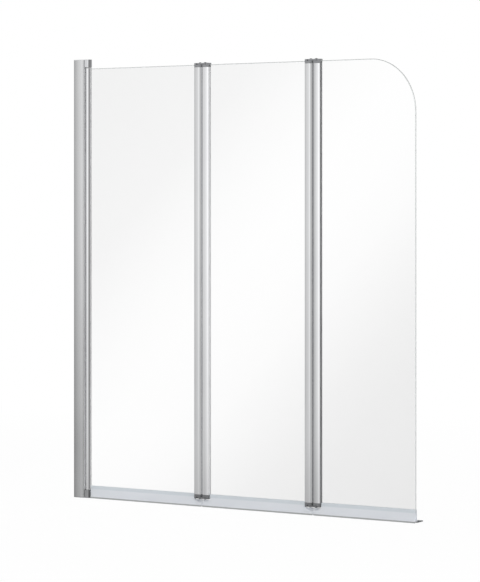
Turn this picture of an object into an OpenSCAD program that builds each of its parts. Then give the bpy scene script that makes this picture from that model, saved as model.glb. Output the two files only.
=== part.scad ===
// Folding bath screen: three glass panels on a wall channel, joined by double-pivot hinges.
// X runs from the wall along the open screen, +Y is the bath side, Z = 0 is the bath rim.
// Origin: foot of the wall channel's back face, in the middle plane of the glass.

/* [Screen] */
// Height of the wall channel
channel_h = 1400; // [1100:10:1600]
// How far the top edge of the glass stops below the top of the wall channel
glass_drop = 29; // [20:1:60]
// Height of the bottom edge of the glass above the bath rim
glass_lift = 30; // [26:1:40]
// Thickness of the glass
glass_t = 5; // [4:0.5:6]
// Distance from the wall pivot to the middle of hinge 1
inner_panel_w = 458; // [400:1:600]
// Distance from the middle of hinge 1 to the middle of hinge 2
middle_panel_w = 420.5; // [300:0.5:450]
// Distance from the middle of hinge 2 to the free edge of the outer glass
outer_panel_w = 368.5; // [240:0.5:420]
// Radius of the outer glass's top corner
corner_r = 160; // [20:1:220]

/* [Wall channel] */
// Reach of the wall channel from the wall to its mouth
channel_w = 42.5; // [40:0.5:60]
// Depth of the wall channel across its fullest part
channel_d = 26; // [25:0.5:34]
// How far the side faces of the wall channel bulge
channel_bulge = 1.2; // [0.5:0.1:2]
// Distance of the wall channel's fullest part from the wall
channel_crest = 29; // [25:0.5:32]
// Radius of the wall channel's corners at the wall
channel_corner_r = 3; // [1:0.1:3.5]
// Side wall of the wall channel at its mouth
channel_side_t = 1.4; // [1:0.1:2]
// Back wall of the wall channel
channel_back_t = 2; // [1.5:0.1:3]
// Radius of the wall screw holes
wall_hole_r = 2.75; // [2:0.05:3.5]
// Distance of the outer wall screw holes from the middle of the channel
wall_hole_outer = 580; // [300:10:640]
// Distance of the inner wall screw holes from the middle of the channel
wall_hole_inner = 200; // [100:10:280]
// Thickness of the cap at each end of the wall channel
end_cap_t = 2; // [1:0.1:4]

/* [Inner channel] */
// Clearance between wall channel and inner channel, each side
slide_gap = 0.3; // [0.1:0.05:0.5]
// Wall of the inner channel
inner_wall = 1.5; // [1.2:0.1:2]
// How far the inner channel stands off the wall
inner_standoff = 9; // [7:0.5:14]
// Distance of the adjusting screws from the wall
adjuster_x = 24; // [21:0.5:28]
// Distance of the upper and lower adjusting screw from the middle of the channel
adjuster_spread = 480; // [300:10:500]
// Radius of the adjusting screw's shank
adjuster_r = 1.95; // [1.5:0.05:2.2]
// Radius of the adjusting screw's head
adjuster_head_r = 3.8; // [3:0.1:4.2]
// Height of the adjusting screw's head
adjuster_head_t = 2.2; // [1.5:0.1:3]
// Radius of the cover over an adjusting screw
cover_r = 5.8; // [5.5:0.1:7]

/* [Wall pivot] */
// Outer radius of the pivot tube
tube_r = 10; // [9.5:0.1:11]
// Gap between the channel's mouth and the pivot tube
pivot_gap = 0.5; // [0.4:0.1:1.5]
// Radius of the stub shaft on a pivot plug
stub_r = 4; // [3:0.1:4.5]
// Length of the stub shaft on a pivot plug
stub_len = 18; // [12:0.5:19]
// Thickness of a pivot plug's disc
plug_t = 3; // [2:0.5:4]
// Wall of the bush in a bearing block
block_bush_wall = 1.4; // [1:0.1:1.8]
// Thickness of the bush's flange
flange_t = 1; // [0.8:0.1:1.2]
// Radius of the screw that holds a bearing block
block_screw_r = 1.5; // [1.2:0.1:1.8]

/* [Hinges] */
// Distance between the two pins of a hinge
pin_pitch = 20; // [19:0.5:24]
// Gap between two leaves, open or folded
fold_gap = 0.4; // [0.3:0.1:0.8]
// Distance from a pin's axis to the glass side of its leaf
leaf_w = 18.5; // [18:0.5:24]
// How much thinner each side of a leaf is at the glass than at the pin
leaf_taper = 2.4; // [1:0.1:2.6]
// Radius of the corners on the glass side of a leaf
leaf_corner_r = 2; // [1:0.1:2.5]
// Height of the caps at the ends of a leaf
leaf_cap_t = 8; // [4:0.5:10]
// Bevel of a cap's outer corner, beside the link plate
crown_bevel = 1.8; // [0.5:0.1:3]
// Radius of a hinge pin
pin_r = 3; // [2.5:0.1:3.1]
// Wall of the bush round a hinge pin
pin_bush_wall = 1.7; // [1.2:0.1:1.8]
// How far a hinge pin reaches into its leaf, below the cap
pin_reach = 20; // [12:1:30]
// Thickness of a link plate
link_t = 5; // [3:0.5:6]
// Radius of a link plate's round ends
link_r = 9.3; // [7:0.1:9.4]
// Radius of a hinge pin's head
pin_head_r = 5.4; // [4:0.1:6]
// Height of a hinge pin's head
pin_head_t = 2.2; // [1:0.1:2.5]

/* [Glazing] */
// Thickness of the gasket between glass and metal
gasket_t = 1; // [0.8:0.1:1.2]
// Depth of the glass pocket in a leaf
leaf_pocket = 12.5; // [11.5:0.1:12.6]
// Depth of the glass pocket in the pivot tube, from the tube's outside
tube_pocket = 11.5; // [9:0.1:12]
// Width of the groove that locks the gasket
key_w = 2; // [1.5:0.1:2.2]
// Depth of the groove that locks the gasket
key_d = 0.7; // [0.4:0.1:0.8]
// How far the gasket's lips stand out of the metal
lip_out = 1.2; // [0.6:0.1:2]

/* [Bottom seal] */
// Wall of the bottom seal
seal_wall = 1.3; // [1:0.1:1.6]
// How far the seal grips up the glass
seal_grip = 10; // [6:0.5:14]
// Height of the seal's closed floor above the rim
seal_floor = 5; // [4:0.5:8]
// How far the front lip leans out from the seal's face
lip_reach = 2.6; // [1:0.1:4]
// How far the drip fin of the inner and middle seals reaches from the seal's face
drip_reach = 5.4; // [2:0.1:5.6]
// How far the deflector fin of the outer seal reaches from the seal's face
deflector_reach = 34; // [10:1:45]
// Height of the relief under a hinge above the bath rim
relief_z = 13; // [11:0.5:18]
// Radius of the arc of the relief under a hinge
relief_r = 45; // [40:1:80]

/* [Fits] */
// Radial clearance of a shaft that turns in a bush
run_fit = 0.05; // [0.03:0.01:0.08]
// Clearance between pieces that are pushed or slid together and then stay
push_fit = 0.05; // [0.02:0.01:0.1]
// Gap along the axis between pieces that turn against each other
axial_gap = 0.3; // [0.2:0.05:0.5]

/* [Hidden] */

$fn = 64;
cut = 1; // overshoot of a cutting shape

chrome = [0.80, 0.81, 0.83];
dark_grey = [0.30, 0.31, 0.33];
glass_tint = [0.86, 0.92, 0.92, 0.35];
clear_vinyl = [0.78, 0.83, 0.87, 0.6];
rubber_grey = [0.25, 0.26, 0.27];
steel = [0.62, 0.63, 0.65];
white_nylon = [0.90, 0.90, 0.88];

// Heights
glass_top = channel_h - glass_drop;
channel_mid = channel_h / 2;
leaf_z0 = glass_lift + leaf_cap_t;
leaf_z1 = glass_top - leaf_cap_t;
link_top_z = glass_top + axial_gap;
link_bottom_z = glass_lift - axial_gap - link_t;
head_bottom_z = link_bottom_z - pin_head_t;

// Places along the screen
pivot_x = channel_w + pivot_gap + tube_r;
hinge_1_x = pivot_x + inner_panel_w;
hinge_2_x = hinge_1_x + middle_panel_w;
screen_w = hinge_2_x + outer_panel_w;
leaf_edge = pin_pitch / 2 + leaf_w;

// Wall channel
channel_half = channel_d / 2;
rear_r = arc_radius(channel_crest, channel_bulge);
front_r = arc_radius(channel_w - channel_crest, channel_bulge);
rear_corner_y = side_face(channel_corner_r) - channel_corner_r;
corner_seam = 0.2; // how far the side arc starts inside the corner's circle
cavity_half = channel_half - channel_bulge - channel_side_t;
spot_face = 0.3;
seat_y = side_face(adjuster_x) - spot_face;
adjuster_hole_r = adjuster_r + 0.3;
adjuster_tip = 2;
adjuster_zs = [for (i = [-1:1]) channel_mid + i * adjuster_spread];
wall_hole_zs = [for (d = [wall_hole_outer, wall_hole_inner], s = [-1, 1]) channel_mid + s * d];

// Inner channel and bearing blocks
inner_half = cavity_half - slide_gap;
inner_x1 = channel_w - slide_gap;
inner_hollow = inner_half - inner_wall;
strip_t = 1.5;
strip_half = 3;
strip_root = 0.9;
strip_short = 1;
strip_x1 = channel_w + pivot_gap - axial_gap;
block_tail_x0 = inner_standoff + 5;
block_screw_x = block_tail_x0 + 8;
block_tail_half = inner_hollow - push_fit;
block_nose_x0 = channel_w + push_fit;
block_top_z = glass_top + plug_t + axial_gap + flange_t;
block_bottom_z = glass_lift - plug_t - axial_gap - flange_t;
block_bush_r = stub_r + run_fit + block_bush_wall;
bush_spare = 1;
flange_r = block_bush_r + 1.6;
block_screw_head_r = 2 * block_screw_r;
block_screw_drop = 12;
block_screw_zs = [block_top_z + block_screw_drop, block_bottom_z - block_screw_drop];

// Leaves
nose_r = (pin_pitch - fold_gap) / 2;
leaf_arc_r = arc_radius(leaf_w, leaf_taper);
corner_x = leaf_w - leaf_corner_r;
corner_y = sqrt(pow(leaf_arc_r - leaf_corner_r, 2) - pow(corner_x, 2)) - (leaf_arc_r - nose_r);
corner_join_x = corner_x * leaf_arc_r / (leaf_arc_r - leaf_corner_r);
pin_bush_r = pin_r + run_fit + pin_bush_wall;
pin_foot_gap = 1;
port_r = 1.5;
port_x = 10.6;
port_y = 6.1;
leg_len = 12;

// Glazing
pocket_half = glass_t / 2 + gasket_t;
leaf_pocket_x = leaf_w - leaf_pocket;
tube_pocket_x = tube_r - tube_pocket;
key_inset = 4.5;
leaf_key_x = leaf_w - key_inset;
tube_key_x = tube_r - key_inset;
tube_mouth_x = sqrt(pow(tube_r, 2) - pow(pocket_half, 2));
tube_port_r = 2;
tube_port_x = -4.7;
tube_port_y = 5.3;
plug_leg_len = 14;
plug_disc_r = tube_r - 0.2;

// Bottom seal
seal_in = glass_t / 2 + push_fit;
seal_out = seal_in + seal_wall;
tongue_gap = 0.5;
tongue_top = head_bottom_z - tongue_gap;
tongue_r = nose_r - 0.2;
seal_side_gap = lip_out + push_fit;
lip_tip = 1.2;
fin_tip_z = 1.6;
deflector_edge_r = 1.6;
deflector_edge_z = 3.6;
deflector_root_x = seal_out + 3;
deflector_root_z = 0.4;

// Radius of the arc that leaves its tangent by drop over a distance run
function arc_radius(run, drop) = (pow(run, 2) + pow(drop, 2)) / (2 * drop);

// Height of the channel's bulged side face at a distance x from the wall
function side_face(x) = let(r = x < channel_crest ? rear_r : front_r)
    channel_half - r + sqrt(pow(r, 2) - pow(x - channel_crest, 2));

// Where the glass ends inside the leaf on side s of a hinge
function hinge_glass_x(hinge_x, s) = hinge_x + s * (pin_pitch / 2 + leaf_pocket_x + gasket_t);

// ---- shared shapes -------------------------------------------------------------

// Shape drawn between two heights
module rise(z0, z1) {
    translate([0, 0, z0]) linear_extrude(z1 - z0) children();
}

// Cylinder along Y from y0 to y1, at x and z
module along_y(x, z, y0, y1, r) {
    translate([x, y0, z]) rotate([-90, 0, 0]) cylinder(r = r, h = y1 - y0);
}

// The same piece, upside down, so that what is at height z comes to glass_lift + glass_top - z
module upside_down() {
    translate([0, 0, glass_lift + glass_top]) mirror([0, 0, 1]) children();
}

// Rectangle from x0 to x1, centred on the glass plane
module band(x0, x1, half) {
    translate([x0, -half]) square([x1 - x0, 2 * half]);
}

// ---- wall side -----------------------------------------------------------------

// Band from x0 to x1 whose two sides are arcs of radius r, fullest at the crest
module bulged_band(x0, x1, r) {
    intersection() {
        band(x0, x1, channel_half);
        translate([channel_crest, channel_half - r]) circle(r = r, $fn = 360);
        translate([channel_crest, r - channel_half]) circle(r = r, $fn = 360);
    }
}

// Outline with a flat back and mouth; its sides rise from round corners and fall to the mouth
module channel_outline() {
    band(0, channel_corner_r + cut, rear_corner_y);
    for (s = [-1, 1]) translate([channel_corner_r, s * rear_corner_y])
        circle(r = channel_corner_r);
    bulged_band(channel_corner_r - corner_seam, channel_crest, rear_r);
    bulged_band(channel_crest - cut, channel_w, front_r);
}

module wall_channel() {
    color(chrome) difference() {
        rise(end_cap_t, channel_h - end_cap_t) difference() {
            channel_outline();
            band(channel_back_t, channel_w + cut, cavity_half);
        }
        for (z = wall_hole_zs)
            translate([-cut, 0, z]) rotate([0, 90, 0])
                cylinder(r = wall_hole_r, h = channel_back_t + 2 * cut);
        for (z = adjuster_zs) {
            along_y(adjuster_x, z, cavity_half - cut, channel_half + cut, adjuster_hole_r);
            along_y(adjuster_x, z, seat_y, channel_half + cut, cover_r + push_fit);
        }
    }
}

// Plate over the channel's end, with a peg that fills the space behind the inner channel
module channel_cap() {
    peg_x1 = inner_standoff - push_fit;
    peg_x0 = channel_back_t + push_fit;
    peg_len = 8;
    color(chrome) union() {
        rise(channel_h - end_cap_t, channel_h) channel_outline();
        rise(channel_h - end_cap_t - peg_len, channel_h - end_cap_t)
            band(peg_x0, peg_x1, cavity_half - push_fit);
    }
}

module channel_cap_top() {
    channel_cap();
}

module channel_cap_bottom() {
    translate([0, 0, channel_h]) mirror([0, 0, 1]) channel_cap();
}

module inner_channel() {
    z0 = end_cap_t;
    z1 = channel_h - end_cap_t;
    color(chrome) difference() {
        rise(z0, z1) difference() {
            band(inner_standoff, inner_x1, inner_half);
            band(inner_standoff - cut, inner_x1 - inner_wall, inner_hollow);
            band(inner_x1 - strip_root, inner_x1 + cut, strip_half + push_fit);
        }
        rise(block_top_z - push_fit, z1 + cut)
            band(inner_x1 - inner_wall - cut, inner_x1 + cut, inner_hollow);
        rise(z0 - cut, block_bottom_z + push_fit)
            band(inner_x1 - inner_wall - cut, inner_x1 + cut, inner_hollow);
        for (z = adjuster_zs)
            along_y(adjuster_x, z, inner_hollow - cut, inner_half + cut, adjuster_r + push_fit);
        for (z = block_screw_zs) {
            along_y(block_screw_x, z, inner_hollow - cut, inner_half + cut,
                block_screw_r + push_fit);
            translate([block_screw_x, inner_half - block_screw_r, z]) rotate([-90, 0, 0])
                cylinder(r1 = block_screw_r + push_fit, r2 = block_screw_head_r + push_fit,
                    h = block_screw_r);
        }
    }
}

// Pan-head screws through the wall channel's bath side into the inner channel
module adjuster_screws() {
    drive_r = 1.2;
    color(steel) for (z = adjuster_zs)
        difference() {
            union() {
                along_y(adjuster_x, z, inner_hollow - adjuster_tip, seat_y + adjuster_head_t / 2,
                    adjuster_r);
                along_y(adjuster_x, z, seat_y, seat_y + adjuster_head_t, adjuster_head_r);
            }
            along_y(adjuster_x, z, seat_y + adjuster_head_t / 2, seat_y + adjuster_head_t + cut,
                drive_r);
        }
}

// Domed snap covers over the adjusting screws
module adjuster_covers() {
    rim_h = adjuster_head_t + push_fit;
    dome_h = 1;
    bore_r = adjuster_head_r + 0.2;
    color(chrome) for (z = adjuster_zs)
        translate([adjuster_x, seat_y, z]) rotate([-90, 0, 0]) rotate_extrude() difference() {
            union() {
                square([cover_r, rim_h]);
                translate([0, rim_h]) square([cover_r - dome_h, dome_h]);
                intersection() {
                    translate([cover_r - dome_h, rim_h]) circle(r = dome_h);
                    translate([0, rim_h]) square([cover_r, dome_h]);
                }
            }
            translate([-cut, -cut]) square([bore_r + cut, rim_h + cut]);
        }
}

// Soft strip in the face of the inner channel, just clear of the pivot tube
module pivot_strip() {
    color(rubber_grey) rise(block_bottom_z + strip_short, block_top_z - strip_short) union() {
        band(inner_x1 - strip_root + push_fit, inner_x1, strip_half);
        band(inner_x1, strip_x1, strip_t);
    }
}

// Block at the end of the inner channel: a tail inside it and a round nose over the tube
module bearing_block_top() {
    color(chrome) difference() {
        union() {
            rise(block_top_z, channel_h - end_cap_t)
                band(block_tail_x0, block_nose_x0, block_tail_half);
            rise(block_top_z, channel_h) {
                band(block_nose_x0, pivot_x, tube_r);
                translate([pivot_x, 0]) circle(r = tube_r);
            }
        }
        translate([pivot_x, 0, 0]) rise(block_top_z - cut, block_top_z + stub_len + bush_spare)
            circle(r = block_bush_r + push_fit);
        along_y(block_screw_x, block_screw_zs[0], 0, block_tail_half + cut,
            block_screw_r + push_fit);
    }
}

module bearing_block_bottom() {
    color(chrome) difference() {
        union() {
            rise(end_cap_t, block_bottom_z)
                band(block_tail_x0, block_nose_x0, block_tail_half);
            rise(0, block_bottom_z) {
                band(block_nose_x0, pivot_x, tube_r);
                translate([pivot_x, 0]) circle(r = tube_r);
            }
        }
        translate([pivot_x, 0, 0])
            rise(block_bottom_z - stub_len - bush_spare, block_bottom_z + cut)
                circle(r = block_bush_r + push_fit);
        along_y(block_screw_x, block_screw_zs[1], 0, block_tail_half + cut,
            block_screw_r + push_fit);
    }
}

// Countersunk screws that hold the bearing blocks in the inner channel
module block_screws() {
    tip_y = 0.5;
    color(steel) for (z = block_screw_zs)
        union() {
            along_y(block_screw_x, z, tip_y, inner_half - block_screw_r, block_screw_r);
            translate([block_screw_x, inner_half - block_screw_r, z]) rotate([-90, 0, 0])
                cylinder(r1 = block_screw_r, r2 = block_screw_head_r, h = block_screw_r);
        }
}

// Flanged bush with its flange below the block
module block_bush_top() {
    color(white_nylon) translate([pivot_x, 0, 0]) difference() {
        union() {
            rise(block_top_z, block_top_z + stub_len - bush_spare) circle(r = block_bush_r);
            rise(block_top_z - flange_t, block_top_z) circle(r = flange_r);
        }
        rise(block_top_z - flange_t - cut, block_top_z + stub_len) circle(r = stub_r + run_fit);
    }
}

module block_bush_bottom() {
    upside_down() block_bush_top();
}

// ---- inner panel: pivot tube -----------------------------------------------------

// Round tube with the glass pocket, the gasket grooves and two ports for the plug's legs
module tube_section() {
    difference() {
        circle(r = tube_r, $fn = 128);
        band(tube_pocket_x, tube_r + cut, pocket_half);
        band(tube_key_x, tube_key_x + key_w, pocket_half + key_d);
        for (s = [-1, 1]) translate([tube_port_x, s * tube_port_y]) circle(r = tube_port_r);
    }
}

module pivot_tube() {
    color(chrome) translate([pivot_x, 0, 0]) rise(glass_lift, glass_top) tube_section();
}

// Die-cast plug: a disc on the tube's end, a stub shaft above it and two legs in the tube
module pivot_plug_top() {
    chamfer = 0.8;
    color(steel) translate([pivot_x, 0, 0]) union() {
        rise(glass_top, glass_top + plug_t) circle(r = plug_disc_r);
        rise(glass_top + plug_t, glass_top + plug_t + stub_len - chamfer) circle(r = stub_r);
        translate([0, 0, glass_top + plug_t + stub_len - chamfer])
            cylinder(r1 = stub_r, r2 = stub_r - chamfer, h = chamfer);
        for (s = [-1, 1]) translate([tube_port_x, s * tube_port_y, glass_top - plug_leg_len])
            cylinder(r = tube_port_r - push_fit, h = plug_leg_len);
    }
}

module pivot_plug_bottom() {
    upside_down() pivot_plug_top();
}

// ---- glazing ---------------------------------------------------------------------

// U-shaped gasket from the pocket's floor to its lips, with a ridge in each groove
module gasket_section(floor_x, key_x, mouth_x) {
    outer = pocket_half - push_fit;
    inner = glass_t / 2 + push_fit;
    difference() {
        union() {
            band(floor_x + push_fit, mouth_x + lip_out, outer);
            band(key_x + push_fit, key_x + key_w - push_fit, outer + key_d);
        }
        band(floor_x + gasket_t, mouth_x + lip_out + cut, inner);
    }
}

module pivot_gasket() {
    color(rubber_grey) translate([pivot_x, 0, 0]) rise(glass_lift, glass_top)
        gasket_section(tube_pocket_x, tube_key_x, tube_mouth_x);
}

// ---- hinge leaves ----------------------------------------------------------------

// Turns a piece drawn with its pin at x = 0 and its glass at +x to side s of a hinge
module on_side(hinge_x, s) {
    translate([hinge_x + s * pin_pitch / 2, 0, 0]) mirror([s < 0 ? 1 : 0, 0, 0]) children();
}

// Outline: a round nose about the pin, running into two shallow arcs and rounded corners
module leaf_outline() {
    circle(r = nose_r, $fn = 128);
    intersection() {
        band(0, corner_join_x, nose_r);
        translate([0, leaf_arc_r - nose_r]) circle(r = leaf_arc_r, $fn = 360);
        translate([0, nose_r - leaf_arc_r]) circle(r = leaf_arc_r, $fn = 360);
    }
    band(corner_x - cut, leaf_w, corner_y);
    for (s = [-1, 1]) translate([corner_x, s * corner_y]) circle(r = leaf_corner_r);
}

// Extruded section: pin bore, glass pocket with gasket grooves, and two ports for the caps
module leaf_section() {
    difference() {
        leaf_outline();
        circle(r = pin_bush_r + push_fit);
        band(leaf_pocket_x, leaf_w + cut, pocket_half);
        band(leaf_key_x, leaf_key_x + key_w, pocket_half + key_d);
        for (s = [-1, 1]) translate([port_x, s * port_y]) circle(r = port_r);
    }
}

module leaf(hinge_x, s) {
    color(chrome) on_side(hinge_x, s) rise(leaf_z0, leaf_z1) leaf_section();
}

module leaf_gasket(hinge_x, s) {
    color(rubber_grey) on_side(hinge_x, s) rise(leaf_z0, leaf_z1)
        gasket_section(leaf_pocket_x, leaf_key_x, leaf_w);
}

// Cuts the bevel off the outer corner of a cap whose top is at crown_z
module crown_corner(crown_z) {
    translate([0, nose_r + cut, 0]) rotate([90, 0, 0]) linear_extrude(2 * (nose_r + cut))
        polygon([[leaf_w - crown_bevel, crown_z], [leaf_w, crown_z - crown_bevel],
            [leaf_w + cut, crown_z - crown_bevel - cut], [leaf_w + cut, crown_z + cut],
            [leaf_w - crown_bevel - cut, crown_z + cut]]);
}

// Cap with the leaf's outline. Its outer part is raised level with the link plate and clear of
// the plate's turning end; it has a slot round the glass, the bush's hole and two push-in legs
module leaf_cap() {
    crown_z = link_top_z + link_t;
    slot_x = leaf_pocket_x + gasket_t - push_fit;
    color(dark_grey) union() {
        difference() {
            rise(leaf_z1, crown_z) leaf_outline();
            rise(glass_top, crown_z + cut)
                band(-nose_r - cut, link_r + axial_gap, nose_r + cut);
            crown_corner(crown_z);
            rise(leaf_z1 - cut, glass_top + cut) circle(r = pin_bush_r + push_fit);
            rise(leaf_z1 - cut, glass_top + push_fit)
                band(slot_x, leaf_w + cut, glass_t / 2 + push_fit);
        }
        for (s = [-1, 1]) translate([port_x, s * port_y, leaf_z1 - leg_len])
            cylinder(r = port_r - push_fit, h = leg_len);
    }
}

module leaf_caps(hinge_x, s) {
    on_side(hinge_x, s) {
        leaf_cap();
        upside_down() leaf_cap();
    }
}

module leaf_bush() {
    color(white_nylon) rise(leaf_z1 - pin_reach, glass_top) difference() {
        circle(r = pin_bush_r);
        circle(r = pin_r + run_fit);
    }
}

module leaf_bushes(hinge_x, s) {
    on_side(hinge_x, s) {
        leaf_bush();
        upside_down() leaf_bush();
    }
}

// ---- hinge links -----------------------------------------------------------------

// Plate with two round ends that carries one pin of each leaf
module link_plate(hinge_x) {
    color(dark_grey) translate([hinge_x, 0, 0]) rise(link_top_z, link_top_z + link_t) difference() {
        union() {
            for (s = [-1, 1]) translate([s * pin_pitch / 2, 0]) circle(r = link_r);
            band(-pin_pitch / 2, pin_pitch / 2, link_r);
        }
        for (s = [-1, 1]) translate([s * pin_pitch / 2, 0]) circle(r = pin_r + push_fit);
    }
}

// Pin with a domed head that stands on the link plate
module hinge_pin() {
    tip = 0.6;
    dome_r = (pow(pin_head_r, 2) + pow(pin_head_t, 2)) / (2 * pin_head_t);
    head_z = link_top_z + link_t;
    foot_z = leaf_z1 - pin_reach + pin_foot_gap;
    color(dark_grey) union() {
        translate([0, 0, foot_z]) cylinder(r1 = pin_r - tip, r2 = pin_r, h = tip);
        rise(foot_z + tip, head_z) circle(r = pin_r);
        translate([0, 0, head_z]) rotate_extrude() intersection() {
            square([pin_head_r, pin_head_t]);
            translate([0, pin_head_t - dome_r]) circle(r = dome_r, $fn = 180);
        }
    }
}

module hinge_pins(hinge_x) {
    for (s = [-1, 1]) on_side(hinge_x, s) {
        hinge_pin();
        upside_down() hinge_pin();
    }
}

// ---- glass -----------------------------------------------------------------------

module pane(x0, x1) {
    translate([x0, -glass_t / 2, glass_lift]) cube([x1 - x0, glass_t, glass_top - glass_lift]);
}

module glass_inner() {
    color(glass_tint) pane(pivot_x + tube_pocket_x + gasket_t, hinge_glass_x(hinge_1_x, -1));
}

module glass_middle() {
    color(glass_tint) pane(hinge_glass_x(hinge_1_x, 1), hinge_glass_x(hinge_2_x, -1));
}

// The outer pane has its top corner rounded
module glass_outer() {
    x0 = hinge_glass_x(hinge_2_x, 1);
    color(glass_tint) translate([0, glass_t / 2, 0]) rotate([90, 0, 0]) linear_extrude(glass_t)
        union() {
            translate([x0, glass_lift]) square([screen_w - x0, glass_top - corner_r - glass_lift]);
            translate([x0, glass_lift])
                square([screen_w - corner_r - x0, glass_top - glass_lift]);
            translate([screen_w - corner_r, glass_top - corner_r])
                circle(r = corner_r, $fn = 360);
        }
}

// ---- bottom seals ----------------------------------------------------------------

// Lip on the room side, drawn like the whole section with the bath side at +x and up at +y
module front_lip() {
    lip_x = seal_out + lip_reach;
    polygon([[-seal_in, seal_floor], [-seal_out, seal_floor + seal_wall],
        [-lip_x, 0], [lip_tip - lip_x, 0]]);
}

// Plain fin on the bath side of the inner and middle seals
module drip_fin() {
    fin_x = seal_out + drip_reach;
    polygon([[seal_in, seal_floor], [seal_out, seal_floor + seal_wall],
        [fin_x, fin_tip_z], [fin_x, fin_tip_z - seal_wall]]);
}

// Hollow fin on the bath side of the outer seal: three webs that meet at a round edge
module deflector_fin() {
    edge_x = seal_out + deflector_reach - deflector_edge_r;
    edge_top = deflector_edge_z + deflector_edge_r;
    edge_foot = deflector_edge_z - deflector_edge_r;
    heel = 1.5 * seal_wall;
    polygon([[seal_in, seal_floor], [seal_out, seal_floor + seal_wall],
        [edge_x, edge_top], [edge_x, edge_top - seal_wall]]);
    polygon([[seal_in, seal_floor], [seal_in + heel, seal_floor],
        [deflector_root_x + heel, deflector_root_z + seal_wall / 2],
        [deflector_root_x, deflector_root_z]]);
    polygon([[deflector_root_x, deflector_root_z],
        [deflector_root_x, deflector_root_z + seal_wall],
        [edge_x, edge_foot + seal_wall], [edge_x, edge_foot]]);
    translate([edge_x, deflector_edge_z]) circle(r = deflector_edge_r);
}

// Closed box section from the floor to top, open inside
module seal_box(top) {
    difference() {
        translate([-seal_out, seal_floor]) square([2 * seal_out, top - seal_floor]);
        translate([-seal_in, seal_floor + seal_wall])
            square([2 * seal_in, top - seal_floor - 2 * seal_wall]);
    }
}

// Full section: legs that grip the glass, box and front lip; the fin comes as a child
module seal_section() {
    leg_top = glass_lift + seal_grip;
    seal_box(glass_lift);
    for (x = [-seal_out, seal_in])
        translate([x, glass_lift - cut]) square([seal_wall, leg_top - glass_lift + cut]);
    front_lip();
    children();
}

// Low section that passes under a hinge; the fin comes as a child
module tongue_section() {
    seal_box(tongue_top);
    front_lip();
    children();
}

// Section drawn in Y and Z, carried along X from x0 to x1
module run_along_x(x0, x1) {
    translate([x0, 0, 0]) rotate([90, 0, 90]) linear_extrude(x1 - x0) children();
}

// Low run from x0 to the pin, with a round nose about the pin and an arched relief in its
// room side under the hinge; s is the side it comes from, and the fin comes as a child
module seal_tongue(pin_x, x0, s) {
    far = seal_out + deflector_reach + cut;
    difference() {
        intersection() {
            run_along_x(min(x0, pin_x - s * tongue_r), max(x0, pin_x - s * tongue_r))
                tongue_section() children();
            rise(-cut, tongue_top + cut) union() {
                translate([pin_x, 0]) circle(r = tongue_r);
                translate([min(pin_x, x0), -far]) square([abs(x0 - pin_x), 2 * far]);
            }
        }
        along_y(pin_x - s * pin_pitch / 2, relief_z + relief_r, -far, 0, relief_r);
    }
}

module bottom_seal_inner() {
    x0 = pivot_x + tube_r + seal_side_gap;
    x1 = hinge_1_x - leaf_edge - seal_side_gap;
    color(clear_vinyl) union() {
        run_along_x(x0, x1) seal_section() drip_fin();
        seal_tongue(hinge_1_x - pin_pitch / 2, x1, -1) drip_fin();
    }
}

module bottom_seal_middle() {
    x0 = hinge_1_x + leaf_edge + seal_side_gap;
    x1 = hinge_2_x - leaf_edge - seal_side_gap;
    color(clear_vinyl) union() {
        run_along_x(x0, x1) seal_section() drip_fin();
        seal_tongue(hinge_1_x + pin_pitch / 2, x0, 1) drip_fin();
        seal_tongue(hinge_2_x - pin_pitch / 2, x1, -1) drip_fin();
    }
}

module bottom_seal_outer() {
    x0 = hinge_2_x + leaf_edge + seal_side_gap;
    color(clear_vinyl) union() {
        run_along_x(x0, screen_w) seal_section() deflector_fin();
        seal_tongue(hinge_2_x + pin_pitch / 2, x0, 1) deflector_fin();
    }
}

// ---- hinges as placed --------------------------------------------------------------

module hinge_1_left_leaf() { leaf(hinge_1_x, -1); }
module hinge_1_left_gasket() { leaf_gasket(hinge_1_x, -1); }
module hinge_1_left_caps() { leaf_caps(hinge_1_x, -1); }
module hinge_1_left_bushes() { leaf_bushes(hinge_1_x, -1); }
module hinge_1_right_leaf() { leaf(hinge_1_x, 1); }
module hinge_1_right_gasket() { leaf_gasket(hinge_1_x, 1); }
module hinge_1_right_caps() { leaf_caps(hinge_1_x, 1); }
module hinge_1_right_bushes() { leaf_bushes(hinge_1_x, 1); }
module hinge_1_link_top() { link_plate(hinge_1_x); }
module hinge_1_link_bottom() { upside_down() link_plate(hinge_1_x); }
module hinge_1_pins() { hinge_pins(hinge_1_x); }
module hinge_2_left_leaf() { leaf(hinge_2_x, -1); }
module hinge_2_left_gasket() { leaf_gasket(hinge_2_x, -1); }
module hinge_2_left_caps() { leaf_caps(hinge_2_x, -1); }
module hinge_2_left_bushes() { leaf_bushes(hinge_2_x, -1); }
module hinge_2_right_leaf() { leaf(hinge_2_x, 1); }
module hinge_2_right_gasket() { leaf_gasket(hinge_2_x, 1); }
module hinge_2_right_caps() { leaf_caps(hinge_2_x, 1); }
module hinge_2_right_bushes() { leaf_bushes(hinge_2_x, 1); }
module hinge_2_link_top() { link_plate(hinge_2_x); }
module hinge_2_link_bottom() { upside_down() link_plate(hinge_2_x); }
module hinge_2_pins() { hinge_pins(hinge_2_x); }

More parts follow.
